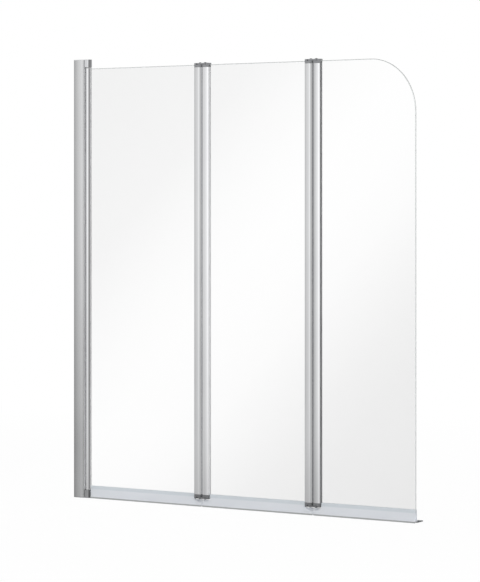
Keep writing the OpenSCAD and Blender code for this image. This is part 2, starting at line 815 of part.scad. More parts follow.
wall_channel();
channel_cap_top();
channel_cap_bottom();
inner_channel();
adjuster_screws();
adjuster_covers();
pivot_strip();
bearing_block_top();
bearing_block_bottom();
block_screws();
block_bush_top();
block_bush_bottom();
pivot_tube();
pivot_plug_top();
pivot_plug_bottom();
pivot_gasket();
glass_inner();
hinge_1_left_leaf();
hinge_1_left_gasket();
hinge_1_left_caps();
hinge_1_left_bushes();
bottom_seal_inner();
hinge_1_link_top();
hinge_1_link_bottom();
hinge_1_pins();
hinge_1_right_leaf();
hinge_1_right_gasket();
hinge_1_right_caps();
hinge_1_right_bushes();
glass_middle();
hinge_2_left_leaf();
hinge_2_left_gasket();
hinge_2_left_caps();
hinge_2_left_bushes();
bottom_seal_middle();
hinge_2_link_top();
hinge_2_link_bottom();
hinge_2_pins();
hinge_2_right_leaf();
hinge_2_right_gasket();
hinge_2_right_caps();
hinge_2_right_bushes();
glass_outer();
bottom_seal_outer();
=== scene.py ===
"""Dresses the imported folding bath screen: bright metal profiles, glass panes, seals and hinges.

Lengths are written in millimetres and multiplied by MM, so every mesh is in metres in the
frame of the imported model: X along the open screen, +Y the bath side, Z = 0 the bath rim. PAST is
how far a tool reaches past the piece that it cuts.
"""

import logging
import math
from dataclasses import dataclass, field
from enum import Enum

import bmesh
import bpy
import numpy as np
import numpy.typing as npt
from mathutils import Matrix, Vector
from mathutils.geometry import tessellate_polygon


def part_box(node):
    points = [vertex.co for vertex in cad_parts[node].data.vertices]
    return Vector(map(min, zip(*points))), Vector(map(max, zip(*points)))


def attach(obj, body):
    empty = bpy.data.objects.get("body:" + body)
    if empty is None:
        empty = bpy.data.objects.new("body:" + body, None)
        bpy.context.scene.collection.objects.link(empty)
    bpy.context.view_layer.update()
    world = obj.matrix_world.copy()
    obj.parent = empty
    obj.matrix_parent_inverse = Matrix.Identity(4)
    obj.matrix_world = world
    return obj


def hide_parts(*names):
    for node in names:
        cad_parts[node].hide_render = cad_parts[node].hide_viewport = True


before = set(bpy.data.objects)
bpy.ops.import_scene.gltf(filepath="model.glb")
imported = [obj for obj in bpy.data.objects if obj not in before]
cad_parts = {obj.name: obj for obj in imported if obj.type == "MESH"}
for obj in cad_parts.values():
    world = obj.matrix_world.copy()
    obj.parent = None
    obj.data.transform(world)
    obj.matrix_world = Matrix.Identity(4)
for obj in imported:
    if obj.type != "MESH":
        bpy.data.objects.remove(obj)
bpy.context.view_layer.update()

Array = npt.NDArray[np.float64]
Socket = bpy.types.NodeSocket
Material = bpy.types.Material
Piece = bpy.types.Object
Pair = tuple[float, float]
Triple = tuple[float, float, float]
Stops = tuple[Pair, ...]
Feed = Socket | tuple[float, ...] | float

MM = 0.001
SMOOTH_ANGLE = math.radians(32)
TINY = 1e-9
SHARPEST = 0.3
PAST = 1.0
NOISE_MIDDLE = (0.3, 0.7)
WHITE = (1.0, 1.0, 1.0, 1.0)
LOG = logging.getLogger("bath_screen")


# ---- outlines ----------------------------------------------------------------------


class Run(Enum):
    """The axis that a section is carried along; the value says which axes u, v and w are."""

    ALONG_X = (1, 2, 0)
    ALONG_Y = (2, 0, 1)
    ALONG_Z = (0, 1, 2)


class Side(Enum):
    """Side of a hinge on which a leaf lies, as the sign of its direction along X."""

    LEFT = -1
    RIGHT = 1


class End(Enum):
    """End of a profile: upper or lower."""

    TOP = 1
    BOTTOM = -1


@dataclass(frozen=True)
class Hole:
    """An opening in a section, from depth low to depth high along the run.

    A hole that stops inside the piece gets a flat floor there.
    """

    outline: Array
    low: float
    high: float


def arc(centre: Pair, radius: float, start: float, end: float, steps: int) -> Array:
    """Points of a circular arc: centre + radius (cos a, sin a), a running evenly in degrees.

    Args:
        centre: Middle of the circle.
        radius: Its radius.
        start: Angle of the first point, in degrees.
        end: Angle of the last point, in degrees.
        steps: Number of chords.

    Returns:
        An array of steps + 1 points.
    """
    angle = np.radians(np.linspace(start, end, steps + 1))
    return np.array(centre) + radius * np.stack([np.cos(angle), np.sin(angle)], axis=1)


def ring(centre: Pair, radius: float, steps: int = 48) -> Array:
    """A whole circle as a closed outline, counter-clockwise."""
    return arc(centre, radius, 0, 360, steps)[:-1]


def rounded(corners: list[Triple], steps: int = 5) -> Array:
    """A polygon whose corners are arcs.

    At each corner the arc touches both sides at distance r tan(turn / 2) from the corner; its
    points are the corner's tangent points joined by a turn of the first side's direction.

    Args:
        corners: Corner points with the radius of each, in order.
        steps: Chords in each arc.

    Returns:
        The closed outline, without a repeated last point.
    """
    points = np.array([c[:2] for c in corners], float)
    parts: list[Array] = []
    for i, (x, y, radius) in enumerate(corners):
        before = points[i] - points[i - 1]
        after = points[(i + 1) % len(points)] - points[i]
        before, after = before / np.linalg.norm(before), after / np.linalg.norm(after)
        turn = math.atan2(before[0] * after[1] - before[1] * after[0], float(before @ after))
        if radius <= 0:
            parts.append(np.array([[x, y]]))
            continue
        start = points[i] - before * radius * math.tan(abs(turn) / 2)
        side = math.copysign(1.0, turn)
        centre = start + side * radius * np.array([-before[1], before[0]])
        angle = np.linspace(0, turn, steps + 1)[:, None]
        arm = start - centre
        turned = np.hstack([arm[0] * np.cos(angle) - arm[1] * np.sin(angle),
                            arm[0] * np.sin(angle) + arm[1] * np.cos(angle)])
        parts.append(centre + turned)
    return np.vstack(parts)


def inward(outline: Array) -> Array:
    """How each point of a counter-clockwise outline moves when the outline shrinks by one unit.

    The move is (n1 + n2) / (1 + n1 . n2), n1 and n2 being the inward normals of its two sides. The
    divisor isn't taken below SHARPEST, which keeps the move short at very sharp corners.
    """
    forward = np.roll(outline, -1, axis=0) - outline
    forward /= np.maximum(np.linalg.norm(forward, axis=1, keepdims=True), TINY)
    after = np.stack([-forward[:, 1], forward[:, 0]], axis=1)
    before = np.roll(after, 1, axis=0)
    return (after + before) / np.maximum(1 + np.sum(after * before, axis=1, keepdims=True), SHARPEST)


def counter_clockwise(outline: Array) -> Array:
    """The outline with its points in counter-clockwise order."""
    x, y = outline.T
    area = float(np.sum(x * np.roll(y, -1) - y * np.roll(x, -1)))
    return outline if area > 0 else outline[::-1]


# ---- meshes ------------------------------------------------------------------------


@dataclass
class MeshParts:
    """Vertices in millimetres and faces with their finish number, gathered into one mesh."""

    points: list[Array] = field(default_factory=list)
    faces: list[Array] = field(default_factory=list)
    finishes: list[int] = field(default_factory=list)
    count: int = 0

    def add(self, points: Array, faces: Array, finish: int = 0) -> None:
        """Adds a block of points with the faces among them.

        Args:
            points: An array of n points, 3 numbers each.
            faces: Faces as rows of point numbers within the block.
            finish: The material slot of these faces.
        """
        self.points.append(points)
        self.faces.append(faces + self.count)
        self.finishes.append(finish)
        self.count += len(points)

    def object(self, name: str, finishes: list[Material]) -> Piece:
        """Makes the object and shades its round faces smooth.

        Args:
            name: The object's name.
            finishes: Its materials, in slot order.

        Returns:
            The object, at the origin, in the scene.
        """
        mesh = bpy.data.meshes.new(name)
        vertices = np.vstack(self.points) * MM
        rows = [row for block in self.faces for row in block.tolist()]
        mesh.from_pydata(vertices.tolist(), [], rows)
        numbers = np.concatenate([np.full(len(f), m) for f, m in zip(self.faces, self.finishes)])
        mesh.polygons.foreach_set("material_index", numbers.astype(np.int32))
        for finish in finishes:
            mesh.materials.append(finish)
        mesh.validate()
        mesh.update()
        piece = bpy.data.objects.new(name, mesh)
        bpy.context.scene.collection.objects.link(piece)
        shade(piece)
        return piece


def wall_faces(rings: int, around: int, flip: bool = False) -> Array:
    """Quads between successive rings of points, each ring closed on itself."""
    i, j = np.meshgrid(np.arange(rings - 1), np.arange(around), indexing="ij")
    here, beside = i * around + j, i * around + (j + 1) % around
    quads = np.stack([here, beside, beside + around, here + around], axis=-1).reshape(-1, 4)
    return quads[:, ::-1] if flip else quads


def flat_faces(loops: list[Array], up: bool) -> Array:
    """Triangles that fill a flat outline round its holes.

    Args:
        loops: The outline first, then the holes, as 2-D points.
        up: True if the faces look along +w.

    Returns:
        Triangles as rows of point numbers over all loops in order.
    """
    found = tessellate_polygon([[Vector((x, y, 0)) for x, y in loop] for loop in loops])
    triangles = np.array(found, int)
    corner = np.vstack(loops)[triangles]
    a, b = corner[:, 1] - corner[:, 0], corner[:, 2] - corner[:, 0]
    area = a[:, 0] * b[:, 1] - a[:, 1] * b[:, 0]
    wrong = (area > 0) != up
    triangles[wrong] = triangles[wrong][:, ::-1]
    return triangles


def placed(uv: Array, w: Array | float, run: Run) -> Array:
    """Points of a section at depth w, as X, Y, Z."""
    u_axis, v_axis, w_axis = run.value
    points = np.zeros((len(uv), 3))
    points[:, u_axis], points[:, v_axis], points[:, w_axis] = uv[:, 0], uv[:, 1], w
    return points


def add_prism(parts: MeshParts, outline: Array, low: float, high: float, *,
              run: Run = Run.ALONG_Z, holes: tuple[Hole, ...] = (), edge: Pair = (0, 0),
              edge_steps: int = 4, side_finish: int = 0) -> None:
    """Adds a section carried along a straight run, its end edges rounded.

    A point of the wall is outline(s) + inset(t) normal(s) at depth w(t). On a rounded end,
    inset = r (1 - sin a) and w = r (1 - cos a) from the end face, a going from 0 to 90 degrees.

    Args:
        parts: Where the mesh is gathered.
        outline: The closed section.
        low: Depth of the lower end.
        high: Depth of the upper end.
        run: The axis of the run.
        holes: Openings that go in from an end, or through.
        edge: Radius of the round at the lower and at the upper end.
        edge_steps: Chords in each round; 1 makes a chamfer.
        side_finish: The material slot of the walls and rounds.
    """
    outline = counter_clockwise(outline)
    shrink = inward(outline)
    angle = np.linspace(0, math.pi / 2, edge_steps + 1)
    insets, depths = [], []
    for radius, at, way in ((edge[0], low, 1), (edge[1], high, -1)):
        turn = (angle if radius > 0 else angle[-1:])[::way]
        insets.append(radius * (1 - np.sin(turn)))
        depths.append(at + way * radius * (1 - np.cos(turn)))
    inset, depth = np.concatenate(insets), np.concatenate(depths)
    wall = [placed(outline + k * shrink, w, run) for k, w in zip(inset, depth)]
    parts.add(np.vstack(wall), wall_faces(len(inset), len(outline)), side_finish)
    for at, up, k in ((low, False, inset[0]), (high, True, inset[-1])):
        open_here = [h for h in holes if (h.high >= high if up else h.low <= low)]
        loops = [outline + k * shrink] + [counter_clockwise(h.outline) for h in open_here]
        parts.add(placed(np.vstack(loops), at, run), flat_faces(loops, up))
    for hole in holes:
        loop = counter_clockwise(hole.outline)
        bottom, top = max(low, hole.low), min(high, hole.high)
        parts.add(np.vstack([placed(loop, bottom, run), placed(loop, top, run)]),
                  wall_faces(2, len(loop), flip=True))
        if hole.low > low:
            parts.add(placed(loop, bottom, run), flat_faces([loop], True))
        if hole.high < high:
            parts.add(placed(loop, top, run), flat_faces([loop], False))


def add_turned(parts: MeshParts, profile: Array, centre: Triple, *,
               run: Run = Run.ALONG_Z, around: int = 48) -> None:
    """Adds a turned body: each profile point (r, w) goes round the axis as r (cos a, sin a), w.

    Args:
        parts: Where the mesh is gathered.
        profile: Points (radius, height), the first and the last on the axis. The body lies to
            the left of the direction of travel.
        centre: A point on the axis, from which heights count.
        run: The axis.
        around: Steps round the axis.
    """
    angle = np.linspace(0, 2 * math.pi, around, endpoint=False)
    circle = np.stack([np.cos(angle), np.sin(angle)], axis=1)
    points = np.vstack([placed(r * circle, w, run) for r, w in profile[1:-1]]) + np.array(centre)
    parts.add(points, wall_faces(len(profile) - 2, around))
    here = np.arange(around)
    fan = np.stack([(here + 1) % around, here, np.full(around, around)], axis=1)
    for rim, height, faces in ((points[:around], profile[0, 1], fan),
                               (points[-around:], profile[-1, 1], fan[:, ::-1])):
        pole = placed(np.zeros((1, 2)), height, run) + np.array(centre)
        parts.add(np.vstack([rim, pole]), faces)


class How(Enum):
    """What a tool body does to a piece."""

    CUT = "DIFFERENCE"
    JOIN = "UNION"


def combine(piece: Piece, tools: MeshParts, how: How) -> None:
    """Takes closed bodies out of a piece, or joins them to it, and shades the result anew.

    Args:
        piece: The piece that is changed.
        tools: The bodies; they may not cross one another.
        how: Whether they are cut away or joined.
    """
    tool = tools.object(f"{piece.name}_tool", [])
    piece.modifiers.clear()
    step = piece.modifiers.new("combine", "BOOLEAN")
    step.object, step.operation, step.solver = tool, how.value, "EXACT"
    bpy.context.view_layer.update()
    worked = piece.evaluated_get(bpy.context.evaluated_depsgraph_get())
    mesh = bpy.data.meshes.new_from_object(worked)
    before, tool_mesh = piece.data, tool.data
    piece.modifiers.clear()
    piece.data = mesh
    bpy.data.objects.remove(tool)
    for old in (before, tool_mesh):
        bpy.data.meshes.remove(old)
    mesh.name = piece.name
    shade(piece)


def shade(piece: Piece) -> None:
    """Shades round faces smooth and keeps edges above the smoothing angle sharp."""
    mesh = piece.data
    mesh.polygons.foreach_set("use_smooth", np.ones(len(mesh.polygons), bool))
    mesh.set_sharp_from_angle(angle=SMOOTH_ANGLE)
    weighted = piece.modifiers.new("even_shading", "WEIGHTED_NORMAL")
    weighted.keep_sharp = True


def add_mirrored(piece: Piece, middle_z: float) -> None:
    """Adds the piece's own image, upside down: height z becomes 2 middle_z - z."""
    shape = bmesh.new()
    shape.from_mesh(piece.data)
    copy = bmesh.ops.duplicate(shape, geom=shape.verts[:] + shape.edges[:] + shape.faces[:])["geom"]
    upside_down = Matrix.Translation((0, 0, 2 * middle_z * MM)) @ Matrix.Scale(-1, 4, (0, 0, 1))
    bmesh.ops.transform(shape, matrix=upside_down,
                        verts=[v for v in copy if isinstance(v, bmesh.types.BMVert)])
    bmesh.ops.reverse_faces(shape, faces=[f for f in copy if isinstance(f, bmesh.types.BMFace)])
    shape.to_mesh(piece.data)
    shape.free()


# ---- finishes ----------------------------------------------------------------------


@dataclass(frozen=True)
class Tone:
    """A grey that changes along a direction of the piece, straight from stop to stop.

    The place is the dot product of the unit direction with a point, in metres; stops are rising
    places with the grey at each.
    """

    direction: Triple
    stops: Stops


def opaque(colour: Feed) -> Feed:
    """A fixed colour with full alpha; a socket stays as it is."""
    return (*colour, 1.0) if isinstance(colour, tuple) else colour


class Tree:
    """The node tree of a material or the world, with short ways to add to it."""

    def __init__(self, owner: Material | bpy.types.World) -> None:
        """Empties the tree of a material or world."""
        owner.use_nodes = True
        self.nodes = owner.node_tree.nodes
        self.links = owner.node_tree.links
        self.nodes.clear()

    def add(self, kind: str, feeds: dict[str | int, Feed], out: str | int = 0, **settings: str) -> Socket:
        """Adds a node.

        Args:
            kind: The node's type, without the word ShaderNode.
            feeds: What goes into its inputs, by name or number: a socket or a fixed value.
            out: The output that is wanted, by name or number.
            settings: The node's own settings.

        Returns:
            The wanted output.
        """
        node = self.nodes.new(f"ShaderNode{kind}")
        for name, setting in settings.items():
            setattr(node, name, setting)
        for name, feed in feeds.items():
            if isinstance(feed, Socket):
                self.links.new(feed, node.inputs[name])
            else:
                node.inputs[name].default_value = feed
        return node.outputs[out]

    def close(self, kind: str, surface: Socket) -> None:
        """Makes a surface the result of the tree of a Material or the World."""
        output = self.nodes.new(f"ShaderNodeOutput{kind}")
        self.links.new(surface, output.inputs["Surface"])

    def mapped(self, value: Socket, start: float, end: float, low: float = 0.0,
               high: float = 1.0) -> Socket:
        """A value's stretch from start to end, laid evenly on low to high and held beyond."""
        feeds = {"Value": value, "From Min": start, "From Max": end, "To Min": low, "To Max": high}
        return self.add("MapRange", feeds)

    def mixed(self, share: Feed, first: Feed, second: Feed, how: str = "MIX") -> Socket:
        """A colour between two, by a share from 0 to 1; MULTIPLY with a share of 1 is their product."""
        feeds = {"Factor": share, 6: opaque(first), 7: opaque(second)}
        return self.add("Mix", feeds, 2, data_type="RGBA", blend_type=how)

    def mixed_shader(self, share: Socket, first: Socket, second: Socket) -> Socket:
        """A shader between two, by a share from 0 to 1."""
        return self.add("MixShader", {"Fac": share, 1: first, 2: second})

    def ray(self, kind: str) -> Socket:
        """1 for rays of a kind, 0 for others."""
        return self.add("LightPath", {}, f"Is {kind} Ray")

    def seen(self) -> Socket:
        """1 for what the camera sees by itself or through glass."""
        return self.add("Math", {0: self.ray("Camera"), 1: self.ray("Transmission")}, operation="MAXIMUM")

    def banded(self, value: Socket, stops: Stops, unit: float = 1.0, easing: str = "LINEAR") -> Socket:
        """A grey that follows a value from stop to stop.

        Args:
            value: The value.
            stops: Pairs of a rising place and the grey there.
            unit: The size of one unit of the places.
            easing: The curve between two stops.

        Returns:
            The grey, as a colour.
        """
        start, end = stops[0][0], stops[-1][0]
        node = self.nodes.new("ShaderNodeValToRGB")
        self.links.new(self.mapped(value, start * unit, end * unit), node.inputs["Fac"])
        ramp = node.color_ramp
        ramp.interpolation = easing
        ramp.elements.remove(ramp.elements[-1])
        for i, (place, level) in enumerate(stops):
            position = (place - start) / (end - start)
            stop = ramp.elements[0] if i == 0 else ramp.elements.new(position)
            stop.position = position
            stop.color = (level, level, level, 1.0)
        return node.outputs["Color"]


class Graph(Tree):
    """A material's tree round one Principled shader."""

    def __init__(self, name: str, **values: float) -> None:
        """Makes a material of that name and sets its shader.

        Args:
            name: The material's name.
            values: Sockets of the shader with their values; an underscore stands for a space.
        """
        self.material = bpy.data.materials.new(name)
        super().__init__(self.material)
        self.shader = self.nodes.new("ShaderNodeBsdfPrincipled")
        for socket, value in values.items():
            self.shader.inputs[socket.replace("_", " ")].default_value = value

    def place(self, of: str = "Object") -> Socket:
        """The point in the piece's own coordinates, or with Normal the surface's direction."""
        return self.add("TexCoord", {}, of)

    def noise(self, cells: Triple, detail: float) -> Socket:
        """Noise over the piece, with so many cells to the metre along each axis."""
        stretched = self.add("Mapping", {"Vector": self.place(), "Scale": cells})
        return self.add("TexNoise", {"Vector": stretched, "Scale": 1.0, "Detail": detail}, "Fac")

    def spread(self, noise: Socket, ends: Pair = (0.0, 1.0)) -> Socket:
        """A noise's middle range spread between two ends."""
        return self.mapped(noise, *NOISE_MIDDLE, *ends)

    def along(self, axis: str, ends: Pair, of: str = "Object") -> Socket:
        """A share that goes from 0 to 1 as a coordinate goes between two ends.

        Args:
            axis: X, Y or Z.
            ends: The coordinate at 0 and at 1, in metres or as part of a unit normal.
            of: The coordinates that are read, Object for the place or Normal for the direction.

        Returns:
            The share.
        """
        return self.mapped(self.add("SeparateXYZ", {0: self.place(of)}, axis), *ends)

    def tone(self, tone: Tone) -> Socket:
        """The grey of a tone."""
        feeds = {0: self.place(), 1: tone.direction}
        return self.banded(self.add("VectorMath", feeds, "Value", operation="DOT_PRODUCT"), tone.stops)

    def feed(self, name: str, source: Socket) -> None:
        """Links a socket into the Principled shader."""
        self.links.new(source, self.shader.inputs[name])

    def dress(self, colour: Socket, grain: Socket, rough: Pair, relief: Pair,
              height: Socket | None = None) -> None:
        """Feeds the shader.

        Args:
            colour: Its base colour.
            grain: The noise that the roughness follows.
            rough: The roughness at both ends of the noise.
            relief: Distance in metres and strength of the bumps.
            height: The noise that lifts the surface, if it isn't the grain.
        """
        self.feed("Base Color", colour)
        self.feed("Roughness", self.spread(grain, rough))
        bumps = {"Distance": relief[0], "Strength": relief[1], "Height": grain if height is None else height}
        self.feed("Normal", self.add("Bump", bumps))

    def closed(self, lamp_tint: Triple | None = None) -> Material:
        """Closes the tree.

        Args:
            lamp_tint: If given, light that looks for a lamp passes straight through, tinted so.

        Returns:
            The material.
        """
        surface = self.shader.outputs["BSDF"]
        if lamp_tint:
            clear = self.add("BsdfTransparent", {"Color": opaque(lamp_tint)})
            surface = self.mixed_shader(self.ray("Shadow"), surface, clear)
        self.close("Material", surface)
        return self.material


@dataclass(frozen=True)
class Turn:
    """A change to another colour as the place or the surface's direction goes between two ends."""

    colour: Triple
    axis: str
    ends: Pair
    of: str = "Object"


@dataclass(frozen=True)
class Grained:
    """A finish of slightly uneven colour over a grain.

    Its turns of colour come first, then its tones. What is partly clear tints lamplight too.
    """

    name: str
    colour: Triple
    other: Triple
    rough: Pair = (0.35, 0.5)
    grain: Triple = (2500.0, 2500.0, 2500.0)
    tones: tuple[Tone, ...] = ()
    turns: tuple[Turn, ...] = ()
    metallic: float = 0.0
    clear: float = 0.0
    ior: float = 1.5
    clouds: Triple = (60.0, 60.0, 60.0)
    details: Pair = (4.0, 2.0)
    relief: Pair = (0.00002, 0.4)

    def material(self) -> Material:
        """Builds the material."""
        graph = Graph(self.name, Metallic=self.metallic, Transmission_Weight=self.clear, IOR=self.ior)
        clouds = graph.noise(self.clouds, self.details[0])
        colour = graph.mixed(graph.spread(clouds), self.colour, self.other)
        for turn in self.turns:
            colour = graph.mixed(graph.along(turn.axis, turn.ends, turn.of), colour, turn.colour)
        for tone in self.tones:
            colour = graph.mixed(1.0, colour, graph.tone(tone), "MULTIPLY")
        graph.dress(colour, graph.noise(self.grain, self.details[1]), self.rough, self.relief)
        return graph.closed(self.colour if self.clear > 0 else None)


class Moulded(Grained):
    """Moulded plastic or rubber, with the fine even grain that Grained has by itself."""


@dataclass(frozen=True)
class BrightMetal(Grained):
    """Polished or plated metal: faint lines along the profile and a few duller patches."""

    rough: Pair = (0.06, 0.12)
    grain: Triple = (900.0, 900.0, 4.0)
    metallic: float = 1.0
    clouds: Triple = (14.0, 14.0, 5.0)
    relief: Pair = (0.000002, 0.5)


@dataclass(frozen=True)
class GroundEdge(Grained):
    """The ground edge of a pane: pale, satin and hardly clear."""

    rough: Pair = (0.3, 0.5)
    grain: Triple = (700.0, 700.0, 700.0)
    clear: float = 0.25
    clouds: Triple = (700.0, 700.0, 700.0)
    details: Pair = (3.0, 3.0)
    relief: Pair = (0.00001, 0.5)


@dataclass(frozen=True)
class ClearVinyl(Grained):
    """Translucent extruded vinyl: a hazy body with faint lines along the profile."""

    rough: Pair = (0.28, 0.38)
    grain: Triple = (2.0, 260.0, 260.0)
    clear: float = 0.3
    ior: float = 1.45
    clouds: Triple = (5.0, 25.0, 25.0)
    details: Pair = (2.0, 1.0)
    relief: Pair = (0.000004, 0.3)


@dataclass(frozen=True)
class ClearPane:
    """Toughened glass: clear, with the long shallow waves that the oven's rollers leave.

    Its colour carries a painted reflection: it is brightest along a line that rises from the foot at the
    wall to the rounded corner, and darker to either side of that line.
    """

    name: str
    lamp_tint: Triple
    # Painted reflection: its direction across the pane, the place where it is brightest and the grey to
    # either side.
    reflection_direction: Triple = (0.699, 0.0, -0.715)
    reflection_peak: float = -0.077
    painted_reflection: Stops = (
        (-0.82, 0.885), (-0.41, 0.915), (-0.25, 0.962), (-0.14, 0.985), (0.0, 1.0), (0.15, 0.995),
        (0.27, 0.979), (0.37, 0.945), (0.53, 0.886), (0.65, 0.856), (0.92, 0.825))
    smears: Triple = (9.0, 9.0, 3.0)
    rough: Pair = (0.0, 0.012)
    rollers: Triple = (1.5, 1.5, 11.0)
    relief: Pair = (0.00001, 1.0)

    def material(self) -> Material:
        """Builds the material."""
        graph = Graph(self.name, Transmission_Weight=1.0, IOR=1.52)
        stops = tuple((self.reflection_peak + at, level) for at, level in self.painted_reflection)
        graph.dress(graph.tone(Tone(self.reflection_direction, stops)), graph.noise(self.smears, 4.0), self.rough,
                    self.relief, graph.noise(self.rollers, 1.0))
        return graph.closed(self.lamp_tint)


def upward(*stops: Pair) -> Tone:
    """A tone that changes with height, in metres."""
    return Tone((0.0, 0.0, 1.0), stops)


def outward(*stops: Pair, node: str | None = None) -> Tone:
    """A tone along X.

    Args:
        stops: Places in millimetres, with the grey at each.
        node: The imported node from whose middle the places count, or from the wall without one.

    Returns:
        The tone.
    """
    middle = (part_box(node)[0][0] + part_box(node)[1][0]) / 2 if node else 0.0
    return Tone((1.0, 0.0, 0.0), tuple((middle + at * MM, level) for at, level in stops))


@dataclass
class Finishes:
    """Every finish of the screen, made once."""

    tube: Material
    inner_hinge: Material
    outer_hinge: Material
    channel: Material
    slider: Material
    plated: Material
    glass: Material
    glass_edge: Material
    vinyl: Material
    cap: Material
    pin: Material
    gasket: Material
    pale_gasket: Material
    strip: Material
    nylon: Material
    steel: Material
    zinc: Material

    @classmethod
    def make(cls) -> "Finishes":
        """Builds the materials.

        The glass edge has painted shade where it looks up. The vinyl has painted shade where its legs
        hold the glass, along its lower edge and in its fin, places and ends being in metres.
        """
        foot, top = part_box("glass_middle")[0][2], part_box("glass_middle")[1][2]
        margin = 80 * MM

        def painted_shade_from_foot(level: float) -> Tone:
            """Painted shade: a tone that is at a level near the foot of the glass and clears towards its
            top.
            """
            return upward((foot, level), (foot + margin, level), (top - margin, 1.0), (top, 1.0))

        def polished(name: str, *tones: Tone) -> BrightMetal:
            """The bright finish of the drawn profiles, with its own tones."""
            return BrightMetal(name, (0.86, 0.865, 0.875), (0.82, 0.825, 0.84), tones=tones)

        # Painted shade and dark reflection: a dark band on the pivot tube's side towards the glass, and the
        # same band on the noses of the plated blocks.
        tube = outward((6.0, 1.0), (8.3, 0.52), (10.3, 0.52), (11.3, 1.0), node="pivot_tube")
        nose = outward((5.0, 1.0), (7.5, 0.5), (10.5, 0.5), (11.8, 1.0), node="pivot_tube")
        # Painted shade at the seam between the two noses, and on the right leaf a painted highlight towards
        # its glass end; on hinge 2 also painted shade on that leaf's outer edge.
        inner_hinge = outward(
            (-1.5, 1.0), (0.0, 0.74), (2.0, 0.84), (6.0, 1.04), (10.0, 0.98), (14.0, 0.9), (18.0, 0.95),
            (22.0, 1.04), (26.0, 1.16), (28.5, 1.16), node="hinge_1_link_top")
        outer_hinge = outward(
            (-1.5, 1.0), (0.0, 0.5), (2.0, 0.6), (6.0, 0.84), (10.0, 0.8), (14.0, 0.84), (18.0, 0.92),
            (22.0, 1.03), (25.0, 1.16), (27.6, 1.16), (28.1, 0.5), (28.5, 0.42), node="hinge_2_link_top")
        # Painted shade on the glass edge's faces that look up.
        looks_up_painted_shade = Turn((0.46, 0.475, 0.475), "Z", (0.2, 0.65), "Normal")
        # Painted shade on the vinyl: where its legs hold the glass, along its lower edge and in its fin.
        grip_painted_shade = Turn((0.725, 0.765, 0.795), "Z", (foot - 1.5 * MM, foot + 0.5 * MM))
        lip = Turn((0.36, 0.37, 0.37), "Z", (0.0050, 0.0032))
        fin = Turn((0.33, 0.335, 0.34), "Y", (0.0042, 0.0065))
        # Painted dark reflection on the channel near the wall and at the lip of its mouth.
        wall_painted_reflection = outward((0.0, 0.62), (10.0, 0.78), (22.0, 0.93), (34.0, 1.0), (42.5, 0.72))
        # Painted shade: the hinge leaves darker high up, the channel darker towards its foot.
        upper_painted_shade = upward((0.6, 1.0), (0.95, 0.94), (1.4, 0.94))
        lower_painted_shade = upward((0.0, 0.86), (0.05, 0.88), (0.165, 0.81), (0.31, 0.88), (0.63, 0.98), (0.8, 1.0))
        looks = dict(
            tube=polished("tube_profile", tube),
            inner_hinge=polished("inner_hinge_profile", inner_hinge, upper_painted_shade),
            outer_hinge=polished("outer_hinge_profile", outer_hinge, upper_painted_shade),
            channel=BrightMetal("channel_profile", (0.76, 0.765, 0.77), (0.71, 0.715, 0.725),
                                (0.12, 0.2), tones=(wall_painted_reflection, lower_painted_shade)),
            slider=BrightMetal("slider_profile", (0.86, 0.865, 0.87), (0.82, 0.825, 0.835),
                               (0.45, 0.6), metallic=0.15),
            # The plated pieces have painted shade towards the foot and the painted dark band on their noses.
            plated=BrightMetal("plated_plastic_painted_light", (0.74, 0.745, 0.76), (0.68, 0.685, 0.70),
                               (0.10, 0.18), (60.0, 60.0, 60.0), (painted_shade_from_foot(0.60), nose)),
            glass=ClearPane("clear_pane_painted_reflection", (0.95, 0.952, 0.952)),
            glass_edge=GroundEdge("ground_edge_painted_shade", (0.80, 0.825, 0.82), (0.74, 0.765, 0.76),
                                  turns=(looks_up_painted_shade,)),
            vinyl=ClearVinyl("clear_vinyl_seal", (0.835, 0.852, 0.88), (0.805, 0.824, 0.852),
                             turns=(grip_painted_shade, lip, fin)),
            # The caps have painted shade towards the foot.
            cap=Moulded("grey_cap_painted_shade", (0.28, 0.285, 0.295), (0.23, 0.235, 0.245),
                        tones=(painted_shade_from_foot(0.58),)),
            pin=BrightMetal("dark_pin", (0.30, 0.305, 0.315), (0.22, 0.225, 0.235), (0.22, 0.34),
                            (120.0, 120.0, 120.0)),
            gasket=Moulded("gasket_rubber", (0.42, 0.425, 0.435), (0.37, 0.375, 0.385),
                           (0.5, 0.65)),
            # A lit copy of the gasket rubber: its pale colour is a painted highlight.
            pale_gasket=Moulded("pale_gasket_rubber", (0.90, 0.905, 0.91), (0.86, 0.865, 0.87),
                                (0.5, 0.65)),
            strip=Moulded("strip_rubber", (0.72, 0.72, 0.725), (0.66, 0.66, 0.665),
                          (0.6, 0.75)),
            nylon=Moulded("white_nylon", (0.78, 0.78, 0.75), (0.72, 0.72, 0.69), (0.4, 0.5)),
            steel=BrightMetal("screw_steel", (0.55, 0.555, 0.565), (0.46, 0.465, 0.475), (0.2, 0.32),
                              (300.0, 300.0, 300.0)),
            zinc=BrightMetal("cast_zinc", (0.74, 0.745, 0.755), (0.68, 0.685, 0.695), (0.3, 0.45),
                             (200.0, 200.0, 200.0)),
        )
        return cls(**{use: look.material() for use, look in looks.items()})


# ---- sub-assemblies ----------------------------------------------------------------


def low_high(node: str) -> tuple[Array, Array]:
    """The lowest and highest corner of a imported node, in millimetres."""
    low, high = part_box(node)
    return np.array(low) / MM, np.array(high) / MM


def finish_piece(piece: Piece, body: str, slot: str, *nodes: str) -> Piece:
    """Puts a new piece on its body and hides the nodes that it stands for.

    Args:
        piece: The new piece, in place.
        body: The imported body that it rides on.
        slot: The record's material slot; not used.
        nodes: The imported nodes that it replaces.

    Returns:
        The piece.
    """
    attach(piece, body)
    if nodes:
        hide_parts(*nodes)
    LOG.info("%s rides on %s", piece.name, body)
    return piece


def through(outlines: list[Array], low: float, high: float) -> tuple[Hole, ...]:
    """Openings of these outlines, from depth low to depth high."""
    return tuple(Hole(outline, low, high) for outline in outlines)


